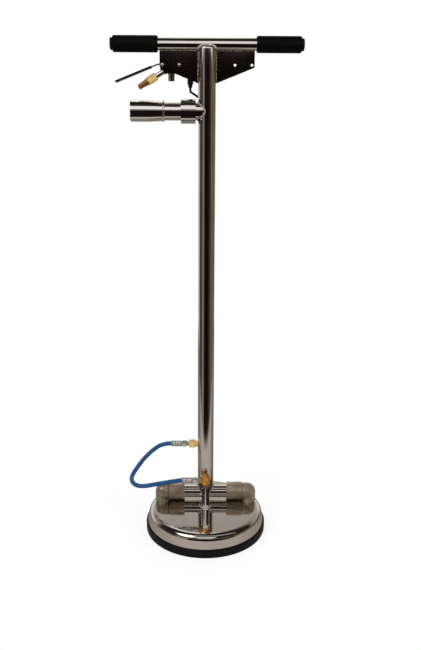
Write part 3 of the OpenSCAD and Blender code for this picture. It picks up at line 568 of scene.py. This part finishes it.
def weld(name, paths, body, pitch, width, height, seed=3):
    """One weld bead along each path, a list of points in millimetres, made one plain mesh."""
    points, edges, length = [], [], 0.0
    for path in paths:
        edges += [(len(points) + i, len(points) + i + 1) for i in range(len(path) - 1)]
        points += [mm(*p) for p in path]
        length += sum((Vector(p) - Vector(q)).length for p, q in zip(path, path[1:]))
    line = bpy.data.meshes.new(name + "_path")
    line.from_pydata(points, edges, [])
    mesh = grown(name, line, WELD, WELD_KEYS, {
        "Pitch": mm(pitch),
        "Width": mm(width),
        "Height": mm(height),
        "Seed": seed,
        "Finish": weld_metal,
    })
    finish_piece(name, mesh, weld_metal, body, sharp=180)
    print(name, "ripples along", round(length), "mm")


# %% [markdown]
# ## Where the welds run
# Two round tubes meet in a saddle curve. For a tube of radius r that stands
# on a tube of radius R, the height of the saddle at an angle is the square
# root of R squared minus the sideways part squared. The same rule gives the
# foot of the pole on the hinge tube and the vacuum stub on the pole.


# %% Saddle welds
def circle_angles(steps=72):
    return [math.radians(360.0 * i / steps) for i in range(steps + 1)]


# A bead's middle lies just outside the tube that it follows, and is lifted a
# little off the surface that the tube stands on.
OUTSIDE = 1.02
POLE_LIFT, STUB_LIFT, ELBOW_LIFT, STEM_LIFT = 0.4, 0.5, 0.3, 0.2
ELBOW_X, ELBOW_BEAD_R, STEM_BEAD_R = 106.8, 17.3, 13.9

pole_foot = []
for a in circle_angles():
    x, y = POLE_R * math.cos(a), POLE_R * math.sin(a)
    rise = math.sqrt(max(CROSS_R**2 - y**2, 0.0)) if abs(y) < CROSS_R else 0.0
    z = HINGE_Z + max(rise, 1.0) + POLE_LIFT
    pole_foot.append((x * OUTSIDE, HINGE_Y + y * OUTSIDE, z))
weld("pole_foot_weld", [pole_foot], "handle", 2.4, 2.2, 1.2)

stub = []
for a in circle_angles():
    y, z = STUB_R * math.cos(a), STUB_R * math.sin(a)
    x = -math.sqrt(POLE_R**2 - y**2) - STUB_LIFT
    stub.append((x, HINGE_Y + y * OUTSIDE, CUFF_Z + z * OUTSIDE))
weld("stub_weld", [stub], "handle", 2.4, 2.0, 1.0, seed=5)

elbow_feet = []
for side in (-1, 1):
    ring = []
    for a in circle_angles():
        x = side * ELBOW_X + ELBOW_BEAD_R * math.cos(a)
        y = HINGE_Y + ELBOW_BEAD_R * math.sin(a)
        ring.append((x, y, pan_height(math.hypot(x, y)) + ELBOW_LIFT))
    elbow_feet.append(ring)
weld("elbow_foot_welds", elbow_feet, "head", 2.2, 1.6, 0.7, seed=7)

stem_ring = [
    (STEM_BEAD_R * math.cos(a), STEM_BEAD_R * math.sin(a), DECK_Z + STEM_LIFT)
    for a in circle_angles(48)
]
weld("stem_foot_weld", [stem_ring], "head", 3.0, 1.9, 1.5, seed=9)

# %% [markdown]
# ## Welds of the handlebar
# The mirror plates that carry the trigger are welded along the underside of
# the bar and down the sides of the pole, front and back.

# %% Handlebar welds
PLATE_SIDE, UNDER_BAR, BESIDE_POLE = 2.1, 12.4, 19.4
PLATE_XS, PLATE_ZS = range(22, 99, 4), range(1037, 1100, 4)
BAR_BEAD_HALF, BAR_BEAD_SIDE, BAR_BEAD_DROP, BAR_BEAD_CURL = 17.5, 12.9, 1.5, 5.5
BAR_BEAD_STEPS = 24

plate_rows = []
for y in (HINGE_Y - PLATE_SIDE, HINGE_Y + PLATE_SIDE):
    for side in (-1, 1):
        plate_rows.append([(side * x, y, BAR_Z - UNDER_BAR) for x in PLATE_XS])
        plate_rows.append([(side * BESIDE_POLE, y, z) for z in PLATE_ZS])
weld("plate_welds", plate_rows, "handle", 2.6, 1.3, 0.9, seed=11)

bar_rows = []
for side in (-1, 1):
    arc = []
    for i in range(BAR_BEAD_STEPS + 1):
        x = -BAR_BEAD_HALF + 2 * BAR_BEAD_HALF * i / BAR_BEAD_STEPS
        drop = BAR_BEAD_DROP + BAR_BEAD_CURL * (x / BAR_BEAD_HALF) ** 4
        arc.append((x, HINGE_Y + side * BAR_BEAD_SIDE, BAR_Z - drop))
    bar_rows.append(arc)
weld("bar_weld", bar_rows, "handle", 2.3, 2.0, 1.3, seed=13)

# %% [markdown]
# ## Screw threads
# The two hose adapters show a short stretch of fine thread between their
# hexagons. A thread this fine looks like a stack of thin rings, so Geometry
# Nodes put one ring on each point of a line. Ring radius, number and pitch
# are inputs, and one tree serves both fittings.


# %% Thread tree
# The radius of a ring's own section, as a share of the pitch.
WIRE_SHARE = 0.42


def thread_tree():
    group, given, keys = new_group("thread_rings", {
        "Radius": "NodeSocketFloat",
        "Rings": "NodeSocketInt",
        "Pitch": "NodeSocketFloat",
        "Finish": "NodeSocketMaterial",
    }, "Thread")
    step = add(group, "ShaderNodeCombineXYZ", {"Z": given["Pitch"]}).outputs[0]
    row = add(group, "GeometryNodeMeshLine", {"Count": given["Rings"], "Offset": step})
    inputs = {"Resolution": 36, "Radius": given["Radius"]}
    loop = add(group, "GeometryNodeCurvePrimitiveCircle", inputs).outputs["Curve"]
    inputs = {0: given["Pitch"], 1: WIRE_SHARE}
    section = add(group, "ShaderNodeMath", inputs, operation="MULTIPLY")
    inputs = {"Resolution": 6, "Radius": section.outputs[0]}
    wire = add(group, "GeometryNodeCurvePrimitiveCircle", inputs).outputs["Curve"]
    ring = add(group, "GeometryNodeCurveToMesh", {"Curve": loop, "Profile Curve": wire})
    inputs = {"Points": row.outputs[0], "Instance": ring.outputs[0]}
    rings = add(group, "GeometryNodeInstanceOnPoints", inputs)
    output_in(group, rings.outputs[0], given["Finish"])
    return group, keys


THREAD, THREAD_KEYS = thread_tree()
THREAD_R, THREAD_RINGS, THREAD_PITCH = 5.5, 5, 1.05


def thread(name, start, body):
    """A row of rings from a point in millimetres towards the left, as one plain mesh."""
    mesh = grown(name, bpy.data.meshes.new(name + "_seed"), THREAD, THREAD_KEYS, {
        "Radius": mm(THREAD_R),
        "Rings": THREAD_RINGS,
        "Pitch": mm(THREAD_PITCH),
        "Finish": chrome_plate,
    })
    mesh.transform(axis_frame(start, (-1, 0, 0)))
    finish_piece(name, mesh, chrome_plate, body, sharp=180)


thread("lower_adapter_thread", (-15.3, 0, 121), "head")
thread("upper_adapter_thread", (-41.2, 33, 203), "handle")
print("rings in each thread", THREAD_RINGS)

# %% [markdown]
# ## Jumper hose
# A short pressure hose carries the water from the wand to the pan. It is stiff
# enough to stand in one clean arc, and it is fixed at both ends. The route is
# the one that the CAD part uses. A smooth curve through its points is divided
# evenly and swept with a round section, whose frame is carried along the curve
# so that the skin doesn't twist.

# %% Hose route
HOSE = [
    (-83, 33, 203), (-87.7, 33, 203), (-96.9, 33.7, 201.6), (-110.8, 36.7, 196),
    (-122.2, 41.5, 186.7), (-132.1, 46.9, 176.1), (-141.5, 51.8, 164.9),
    (-150.9, 55.5, 153.2), (-160.3, 56, 141), (-169.4, 51.5, 129.5),
    (-177.1, 41.5, 120.8), (-181.2, 27.6, 115.5), (-179.5, 12.7, 112.4),
    (-171.9, -0.5, 110.9), (-159.6, -9.7, 111), (-144.8, -13.4, 113),
    (-129.6, -12.6, 115.3), (-114.4, -10.3, 117.1), (-99.3, -7.4, 118.4),
    (-84.1, -4.5, 119.6), (-69, -1.6, 120.5), (-61.8, 0, 121), (-57.1, 0, 121),
]
HOSE_R = 5.25
SPAN_STEPS = 8


def smooth_route(points):
    """Points of a Catmull-Rom curve through the given ones, in metres."""
    known = [Vector(mm(*p)) for p in points]
    known = [2 * known[0] - known[1], *known, 2 * known[-1] - known[-2]]
    made = []
    for a, b, c, d in zip(known, known[1:], known[2:], known[3:]):
        for i in range(SPAN_STEPS):
            t = i / SPAN_STEPS
            first, second, third = c - a, 2 * a - 5 * b + 4 * c - d, 3 * b - a - 3 * c + d
            made.append(0.5 * (2 * b + first * t + second * t * t + third * t**3))
    return [*made, known[-2]]


route = smooth_route(HOSE)


# %% Hose skin
def swept(name, line, radius, finish, sides=24):
    """A capped round tube along a line of points in metres."""
    work = bmesh.new()
    across, rings = Vector((0, 1, 0)), []
    for i, point in enumerate(line):
        ahead = (line[min(i + 1, len(line) - 1)] - line[max(i - 1, 0)]).normalized()
        across = (across - across.dot(ahead) * ahead).normalized()
        other = ahead.cross(across)
        ring = []
        for k in range(sides):
            a = 2 * math.pi * k / sides
            outwards = math.cos(a) * across + math.sin(a) * other
            ring.append(work.verts.new(point + radius * outwards))
        rings.append(ring)
    stitch(work, rings)
    return finish_piece(name, closed_mesh(work, name), finish, None, sharp=50)


hose = swept("jumper_hose_skin", route, mm(HOSE_R), hose_jacket)
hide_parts("jumper_hose")
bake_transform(hose)
print("hose faces", len(hose.data.polygons))

# %% [markdown]
# ## Spring of the valve
# Under the plunger of the water valve sits a small coil spring of hard wire.
# It is wound as a tube along a helix, between the seat and the piston, at its free height.


# %% Valve spring
def box_of(node):
    """The lowest and highest corner of a CAD node, in metres."""
    corners = [node.matrix_world @ Vector(corner) for corner in node.bound_box]
    lowest = [min(c[i] for c in corners) for i in range(3)]
    return lowest, [max(c[i] for c in corners) for i in range(3)]


WIRE_R, PRESSED = mm(0.8), mm(5.9)
COIL_TURNS, COIL_STEPS = 5, 20
low, high = box_of(nodes["plunger_spring"])
mid = [(a + b) / 2 for a, b in zip(low, high)]
coil_r = (high[0] - low[0]) / 2 - WIRE_R
foot_z, climb = low[2] + WIRE_R, high[2] - low[2] - 2 * WIRE_R
helix = []
for k in range(COIL_STEPS * COIL_TURNS + 1):
    turn = 2 * math.pi * k / COIL_STEPS
    x, y = mid[0] + coil_r * math.cos(turn), mid[1] + coil_r * math.sin(turn)
    helix.append(Vector((x, y, foot_z + climb * k / (COIL_STEPS * COIL_TURNS))))
spring = swept("valve_spring", helix, WIRE_R, zinc_plate, sides=10)
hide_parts("plunger_spring")
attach(spring, "handle")
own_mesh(spring)
print("free height of the spring in mm", round((high[2] - low[2]) * 1000, 1))

# %% [markdown]
# ## Plug nose and bolt heads
# The nose of the plug is turned brass: a broad foot, a slow taper and a blunt
# tip with a bore. The two bolts that hold the valve have domed heads, pressed
# from wire, and a dome catches the light where a flat face would not.

# %% Nose and domes
NOSE = [
    (0, 0), (0, 7.6), (3.6, 7.6), (4.4, 6.9), (12, 6.3), (20, 5.8),
    (23.4, 5.7), (24.5, 5.1), (24.8, 2), (14, 2), (14, 0),
]
# A dome's profile: distances in millimetres, radii as shares of the bolt's head.
DOME = [(-0.3, 0), (-0.3, 0.99), (0.8, 0.93), (1.6, 0.75), (2.2, 0.45), (2.4, 0)]
PLUG_SLOPE = math.radians(31)
SAME_PLANE = 1e-5

outward = Vector((-math.cos(PLUG_SLOPE), 0, -math.sin(PLUG_SLOPE)))
cad_nose = nodes["plug_nose"]
points = [cad_nose.matrix_world @ v.co for v in cad_nose.data.vertices]
near = min(p.dot(outward) for p in points)
nose_foot = [p for p in points if p.dot(outward) < near + SAME_PLANE]
root = sum(nose_foot, Vector()) / len(nose_foot) * 1000
place = axis_frame(root, outward)
nose = turned("plug_nose_turned", NOSE, place, browned_brass, "handle")
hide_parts("plug_nose")
for name in ("pivot_bolt", "valve_bolt"):
    low, high = box_of(nodes[name])
    head_r = (high[0] - low[0]) * 500
    middle = [(low[0] + high[0]) * 500, low[1] * 1000, (low[2] + high[2]) * 500]
    dome = [(along, head_r * share) for along, share in DOME]
    place = axis_frame(middle, (0, -1, 0))
    turned(name + "_dome", dome, place, chrome_plate, "handle", sharp=70)
    print(name, "head radius in mm", round(head_r, 1))

# %% [markdown]
# ## Crimped hose ends
# A steel sleeve is pressed round each hose end in a crimping machine, which
# leaves shallow bands across it. The sleeve is turned from a profile with a
# lip at the hose, three pressed bands, and a neck that runs into the nut.

# %% Crimped sleeves
CRIMP = [
    (0.0, 0.0), (0.0, 5.4), (0.0, 6.9), (0.7, 7.55), (2.6, 7.6), (3.4, 7.0), (5.6, 6.95),
    (6.4, 7.5), (8.4, 7.5), (9.2, 6.9), (12.0, 6.85), (12.8, 7.45), (14.8, 7.45),
    (15.6, 6.9), (18.4, 6.9), (19.2, 7.5), (21.6, 7.5), (22.6, 6.9), (23.2, 6.4),
    (27.0, 6.4), (27.0, 0.0),
]
for name, at, body in (("lower", (-56.8, 0, 121), "head"), ("upper", (-82.7, 33, 203), "handle")):
    place = axis_frame(at, (1, 0, 0))
    label = name + "_crimp_sleeve"
    sleeve = turned(label, CRIMP, place, zinc_plate, body, sharp=60)
    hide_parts(name + "_ferrule")
print("points in a sleeve's profile", len(CRIMP))

# %% [markdown]
# ## Cast elbows
# Each side of the hinge ends in an investment casting: a barrel with a ball
# end and a leg that stands on the pan. In wax the three forms run together,
# so here they are closed skins that overlap, joined on a fine grid of voxels
# and relaxed a little, which leaves the soft fillets of a casting.


# %% Elbow castings
BALL_R, BALL_MIDDLE, JOINT_X = 20, 13.6, 90
COLLAR = [(0.1, 18.9), (1.8, 18.9), (2.0, 20.0)]
LEG = [(57, 10.5), (47.5, 10.5), (47.5, 13.0), (51.7, 13.0), (51.7, 16.8), (HINGE_Z, 16.8)]
SKIN_STEPS, BALL_STEP = 64, 3
VOXEL = mm(0.8)


def spun_skin(work, profile, place):
    """Adds a closed skin of (distance, radius) pairs in millimetres, spun round an axis."""
    stitch(work, [spun_ring(work, place, d, r, SKIN_STEPS) for d, r in profile])


def cast_elbow(name, side):
    """An elbow of barrel, ball and leg, on the right (1) or the left (-1)."""
    work = bmesh.new()
    ball = []
    for a in (math.radians(step) for step in range(0, 90, BALL_STEP)):
        ball.append((BALL_MIDDLE + BALL_R * math.sin(a), BALL_R * math.cos(a)))
    joint = axis_frame((side * JOINT_X, HINGE_Y, HINGE_Z), (side, 0, 0))
    spun_skin(work, [*COLLAR, *ball], joint)
    spun_skin(work, LEG, axis_frame((side * ELBOW_X, HINGE_Y, 0), (0, 0, 1)))
    maker = placed(name + "_maker", closed_mesh(work, name + "_skins"))
    grid = maker.modifiers.new("grid", "REMESH")
    grid.mode, grid.voxel_size = "VOXEL", VOXEL
    relax = maker.modifiers.new("relax", "SMOOTH")
    relax.factor, relax.iterations = 0.5, 10
    mesh = baked_mesh(maker)
    return finish_piece(name, mesh, blasted_casting, "head", sharp=180)


for label, side in (("right", 1), ("left", -1)):
    elbow = cast_elbow("cast_elbow_" + label, side)
    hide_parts("elbow_" + label)
    print("elbow faces", len(elbow.data.polygons))

# %% [markdown]
# ## Studio
# The pan and the tubes are mirrors, so what they reflect matters more than
# what lights them. In a studio such an object stands among white and dark
# cards. Here a tent does that: it is seen by reflections only. Behind the
# tool it is white. In front, a pale strip hangs above the camera, the room
# beyond the camera is dark, and a dark gap runs across the ceiling. Two small
# cards close to the tool help it: a tall one lights the top of the handlebar
# and the cuff, and a low shelf draws the line of light on the pan's shoulder.


# %% Colours of the tent
# The soft lamp at the left, and the lamp overhead and behind: where they are
# from the middle of the tool, and the light that they give.
KEY_SPOT, KEY_GLOW = (-0.52, -0.52, 0.68), (3.0, 2.92, 2.8, 1.0)
BACK_SPOT, BACK_GLOW = (-0.134, 0.629, 0.766), (1.3, 1.28, 1.25, 1.0)
TENT_R, TENT_MIDDLE = 6.0, (0, 0, 0.6)

# Colours at degrees round the tool: 0 in front, positive to the right.
ROOM = [
    (-180, "F4F2EE"), (-118, "E8E5DF"), (-100, "5A5148"), (-58, "453D35"), (-54, "8E8A84"),
    (-36, "8A8680"), (-30, "191412"), (28, "19110F"), (34, "3E362E"), (54, "463D33"),
    (60, "7A6D5B"), (130, "75674F"), (146, "E8E5DF"), (180, "F4F2EE"),
]
# Colours at degrees over the tool: 0 level in front, 90 overhead, 180 level behind.
CEILING = [
    (-180, "F4F2EE"), (-10, "191412"), (10.5, "191412"), (13, "7A766F"), (21, "6A655F"),
    (27, "2C2927"), (114, "2C2927"), (132, "9A9690"), (140, "AAA6A0"), (153, "B5B2AF"),
    (168, "F4F2EE"), (180, "F4F2EE"),
]


def painted(tree, across, front, stops):
    """A colour from the angle between two directions, with stops in degrees."""
    angle = add(tree, "ShaderNodeMath", {0: across, 1: front}, operation="ARCTAN2")
    inputs = {"From Min": -math.pi, "From Max": math.pi, "Value": angle.outputs[0]}
    share = add(tree, "ShaderNodeMapRange", inputs).outputs["Result"]
    ramp = add(tree, "ShaderNodeValToRGB", {0: share})
    elements = ramp.color_ramp.elements
    while len(elements) > 1:
        elements.remove(elements[-1])
    for index, (degrees, colour) in enumerate(stops):
        at = degrees / 360 + 0.5
        element = elements[0] if index == 0 else elements.new(at)
        element.position = at
        element.color = linear(colour)
    return ramp.outputs["Color"]


def lit_spot(tree, unit, towards, edge, cloth, glow):
    """Puts a round lamp on the cloth, which fades between two cosines."""
    near = add(tree, "ShaderNodeVectorMath", {0: unit, 1: towards}, operation="DOT_PRODUCT")
    inputs = {"From Min": edge[0], "From Max": edge[1], "Value": near.outputs["Value"]}
    share = add(tree, "ShaderNodeMapRange", inputs, interpolation_type="SMOOTHSTEP")
    inputs = {MIX_SHARE: share.outputs["Result"], MIX_FIRST: cloth, MIX_SECOND: glow}
    return add(tree, "ShaderNodeMix", inputs, data_type="RGBA").outputs[MIX_RESULT]


def tent_colour(tree):
    """The tent's colour from the direction seen from the middle of the tool."""
    inputs = {0: add(tree, "ShaderNodeTexCoord").outputs["Object"]}
    unit = add(tree, "ShaderNodeVectorMath", inputs, operation="NORMALIZE").outputs["Vector"]
    xyz = add(tree, "ShaderNodeSeparateXYZ", {0: unit}).outputs
    front = add(tree, "ShaderNodeMath", {0: xyz["Y"], 1: -1.0}, operation="MULTIPLY").outputs[0]
    room = painted(tree, xyz["X"], front, ROOM)
    ceiling = painted(tree, xyz["Z"], front, CEILING)
    inputs = {"From Min": 0.155, "From Max": 0.2, "Value": xyz["Z"]}
    high = add(tree, "ShaderNodeMapRange", inputs, interpolation_type="SMOOTHSTEP")
    inputs = {MIX_SHARE: high.outputs["Result"], MIX_FIRST: room, MIX_SECOND: ceiling}
    cloth = add(tree, "ShaderNodeMix", inputs, data_type="RGBA").outputs[MIX_RESULT]
    cloth = lit_spot(tree, unit, BACK_SPOT, (0.965, 0.985), cloth, BACK_GLOW)
    return lit_spot(tree, unit, KEY_SPOT, (0.95, 0.98), cloth, KEY_GLOW)


def only_reflected(piece):
    """Hides a stage piece from every ray but a reflection's."""
    for ray in ("camera", "diffuse", "transmission", "volume_scatter", "shadow"):
        setattr(piece, "visible_" + ray, False)


print("colours round and over the tool", len(ROOM), len(CEILING))

# %% Reflection tent
tent_finish, tree = new_material("studio_tent_cloth")
glow = add(tree, "ShaderNodeEmission", {"Color": tent_colour(tree), "Strength": 1.0})
add(tree, "ShaderNodeOutputMaterial", {"Surface": glow.outputs["Emission"]})
ball = bmesh.new()
bmesh.ops.create_uvsphere(ball, u_segments=64, v_segments=32, radius=TENT_R)
tent_mesh = bpy.data.meshes.new("studio_tent")
ball.to_mesh(tent_mesh)
ball.free()
tent_mesh.materials.append(tent_finish)
tent = placed("studio_tent", tent_mesh)
tent.location = TENT_MIDDLE
only_reflected(tent)
tent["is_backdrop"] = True
print("tent radius in m", TENT_R)


# %% Reflector card
def sheet(name, corners, finish):
    """A flat sheet from its four corners in metres."""
    mesh = bpy.data.meshes.new(name)
    mesh.from_pydata(corners, [], [(0, 1, 2, 3)])
    mesh.materials.append(finish)
    piece = placed(name, mesh)
    piece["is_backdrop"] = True
    return piece


CARD_HALF, CARD_Y, CARD_FOOT, CARD_TOP, CARD_FADE = 1.3, -0.5, 1.15, 1.76, 1.2
SHELF_HALF, SHELF_FRONT, SHELF_BACK, SHELF_Z = 0.15, -0.62, -0.33, 0.35

card_cloth, tree = new_material("white_reflector_cloth")
place = add(tree, "ShaderNodeTexCoord").outputs["Object"]
height = add(tree, "ShaderNodeSeparateXYZ", {0: place}).outputs["Z"]
inputs = {"From Min": CARD_FOOT, "From Max": CARD_FADE, "Value": height}
rise = add(tree, "ShaderNodeMapRange", inputs, interpolation_type="SMOOTHSTEP").outputs["Result"]
glow = add(tree, "ShaderNodeEmission", {"Color": linear("FFFDF9"), "Strength": 1.05})
gone = add(tree, "ShaderNodeBsdfTransparent").outputs["BSDF"]
fade = add(tree, "ShaderNodeMixShader", {0: rise, 1: gone, 2: glow.outputs["Emission"]})
add(tree, "ShaderNodeOutputMaterial", {"Surface": fade.outputs["Shader"]})
reflector = sheet("reflector_card", [
    (-CARD_HALF, CARD_Y, CARD_FOOT),
    (CARD_HALF, CARD_Y, CARD_FOOT),
    (CARD_HALF, CARD_Y, CARD_TOP),
    (-CARD_HALF, CARD_Y, CARD_TOP),
], card_cloth)
only_reflected(reflector)

# The shelf lies in front of the pan and glows downwards. From above it isn't there.
shelf_cloth, tree = new_material("white_shelf_cloth")
backfacing = add(tree, "ShaderNodeNewGeometry").outputs["Backfacing"]
glow = add(tree, "ShaderNodeEmission", {"Color": linear("FFFDF6"), "Strength": 0.8})
gone = add(tree, "ShaderNodeBsdfTransparent").outputs["BSDF"]
pick = add(tree, "ShaderNodeMixShader", {0: backfacing, 1: gone, 2: glow.outputs["Emission"]})
add(tree, "ShaderNodeOutputMaterial", {"Surface": pick.outputs["Shader"]})
shelf = sheet("shelf", [
    (-SHELF_HALF, SHELF_FRONT, SHELF_Z),
    (SHELF_HALF, SHELF_FRONT, SHELF_Z),
    (SHELF_HALF, SHELF_BACK, SHELF_Z),
    (-SHELF_HALF, SHELF_BACK, SHELF_Z),
], shelf_cloth)
only_reflected(shelf)
print("reflector card height in mm", round((CARD_TOP - CARD_FOOT) * 1000))

# %% [markdown]
# ## Floor
# The tool stands on a white sweep. Only the part near the tool is lit, so in
# the mirrors the floor is pale close by and dark further out in front. That
# needs two floors in the same place: one for the camera and the soft light,
# and a small pale card that only reflections see.


# %% Floor and its card
FLOOR_HALF, FLOOR_Z, FLOOR_CARD_Z = 8, -0.0004, -0.0002


def level_sheet(name, low_corner, high_corner, z, finish):
    """A level sheet between two corners, given as x and y in metres."""
    (x0, y0), (x1, y1) = low_corner, high_corner
    return sheet(name, [(x0, y0, z), (x1, y0, z), (x1, y1, z), (x0, y1, z)], finish)


sweep, tree = new_material("matt_white_sweep")
lit = add(tree, "ShaderNodeBsdfDiffuse", {"Color": linear("F2F1EF")}).outputs["BSDF"]
clean = add(tree, "ShaderNodeEmission", {"Color": (1, 1, 1, 1), "Strength": 1.0})
seen = add(tree, "ShaderNodeLightPath").outputs["Is Camera Ray"]
place = add(tree, "ShaderNodeTexCoord").outputs["Object"]
away = add(tree, "ShaderNodeVectorMath", {0: place}, operation="LENGTH").outputs["Value"]
inputs = {"From Min": 0.25, "From Max": 0.9, "To Min": 0.84, "To Max": 1.0, "Value": away}
plain = add(tree, "ShaderNodeMapRange", inputs, interpolation_type="SMOOTHSTEP").outputs["Result"]
keep = add(tree, "ShaderNodeMath", {0: seen, 1: plain}, operation="MULTIPLY").outputs[0]
both = add(tree, "ShaderNodeMixShader", {0: keep, 1: lit, 2: clean.outputs["Emission"]})
add(tree, "ShaderNodeOutputMaterial", {"Surface": both.outputs["Shader"]})
corner = (FLOOR_HALF, FLOOR_HALF)
floor = level_sheet("floor", (-FLOOR_HALF, -FLOOR_HALF), corner, FLOOR_Z, sweep)
floor.visible_glossy = False

card, tree = new_material("pale_floor_card")
place = add(tree, "ShaderNodeTexCoord").outputs["Object"]
inputs = {"Location": (0, -0.62, 0), "Scale": (0.75, 0.86, 1), "Vector": place}
oval = add(tree, "ShaderNodeMapping", inputs).outputs["Vector"]
reach = add(tree, "ShaderNodeVectorMath", {0: oval}, operation="LENGTH").outputs["Value"]
inputs = {"From Min": 0.93, "From Max": 1.05, "Value": reach}
edge = add(tree, "ShaderNodeMapRange", inputs, interpolation_type="SMOOTHSTEP").outputs["Result"]
depth = add(tree, "ShaderNodeSeparateXYZ", {0: place}).outputs["Y"]
inputs = {"From Min": -0.25, "From Max": 0.15, "Value": depth}
behind = add(tree, "ShaderNodeMapRange", inputs, interpolation_type="SMOOTHSTEP")
near, far = linear("C4BDB8"), linear("8A847E")
inputs = {MIX_SHARE: behind.outputs["Result"], MIX_FIRST: near, MIX_SECOND: far}
shade = add(tree, "ShaderNodeMix", inputs, data_type="RGBA").outputs[MIX_RESULT]
pale = add(tree, "ShaderNodeEmission", {"Color": shade, "Strength": 1.0}).outputs["Emission"]
gone = add(tree, "ShaderNodeBsdfTransparent").outputs["BSDF"]
fade = add(tree, "ShaderNodeMixShader", {0: edge, 1: pale, 2: gone}).outputs["Shader"]
add(tree, "ShaderNodeOutputMaterial", {"Surface": fade})
floor_card = level_sheet("floor_card", (-2, -2), (2, 3), FLOOR_CARD_Z, card)
only_reflected(floor_card)
print("floor and card", floor.name, floor_card.name)

# %% [markdown]
# ## Light
# Three large soft lamps give the rubber, foam and hose their shape: a key
# from the upper left, a fill from the right and a weak one from behind. They
# don't show in reflections, because the tent does that work.


# %% Lamps and world
def soft_lamp(name, at, towards, size, watts):
    """A rectangular lamp at a point in metres, turned towards another."""
    data = bpy.data.lights.new(name, "AREA")
    data.shape, data.energy = "RECTANGLE", watts
    data.size, data.size_y = size
    lamp = placed(name, data)
    lamp.location = at
    lamp.rotation_euler = (Vector(towards) - Vector(at)).to_track_quat("-Z", "Y").to_euler()
    lamp.visible_glossy = False


soft_lamp("key", (-1.6, -1.6, 2.6), (0, 0, 0.6), (1.6, 1.6), 46)
soft_lamp("fill", (1.9, -1.2, 1.5), (0, 0, 0.6), (1.4, 1.8), 22)
soft_lamp("rim", (0.2, 2.2, 2.0), (0, 0, 0.8), (1.8, 1.2), 18)

world = bpy.data.worlds.new("studio")
bpy.context.scene.world = world
world.use_nodes = True
tree = world.node_tree
tree.nodes.clear()
path = add(tree, "ShaderNodeLightPath").outputs
inputs = {0: path["Is Camera Ray"], 1: path["Is Glossy Ray"]}
shown = add(tree, "ShaderNodeMath", inputs, operation="MAXIMUM").outputs[0]
inputs = {0: shown, 1: path["Is Transmission Ray"]}
shown = add(tree, "ShaderNodeMath", inputs, operation="MAXIMUM").outputs[0]
inputs = {"To Min": 0.62, "To Max": 1.0, "Value": shown}
strength = add(tree, "ShaderNodeMapRange", inputs).outputs["Result"]
inputs = {"Color": (1, 1, 1, 1), "Strength": strength}
sky = add(tree, "ShaderNodeBackground", inputs).outputs["Background"]
add(tree, "ShaderNodeOutputWorld", {"Surface": sky})
bpy.context.scene.view_settings.view_transform = "Standard"

# %% [markdown]
# ## The size of the dressed tool
# Nothing in the scene should change the tool's size, so the box of the dressed
# tool is compared with the box of the CAD part, and the growth is printed.

bpy.context.view_layer.update()
low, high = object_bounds()
grown_by = (high - low) - (cad_high - cad_low)
print("grown by mm", [round(v * 1000, 2) for v in grown_by])
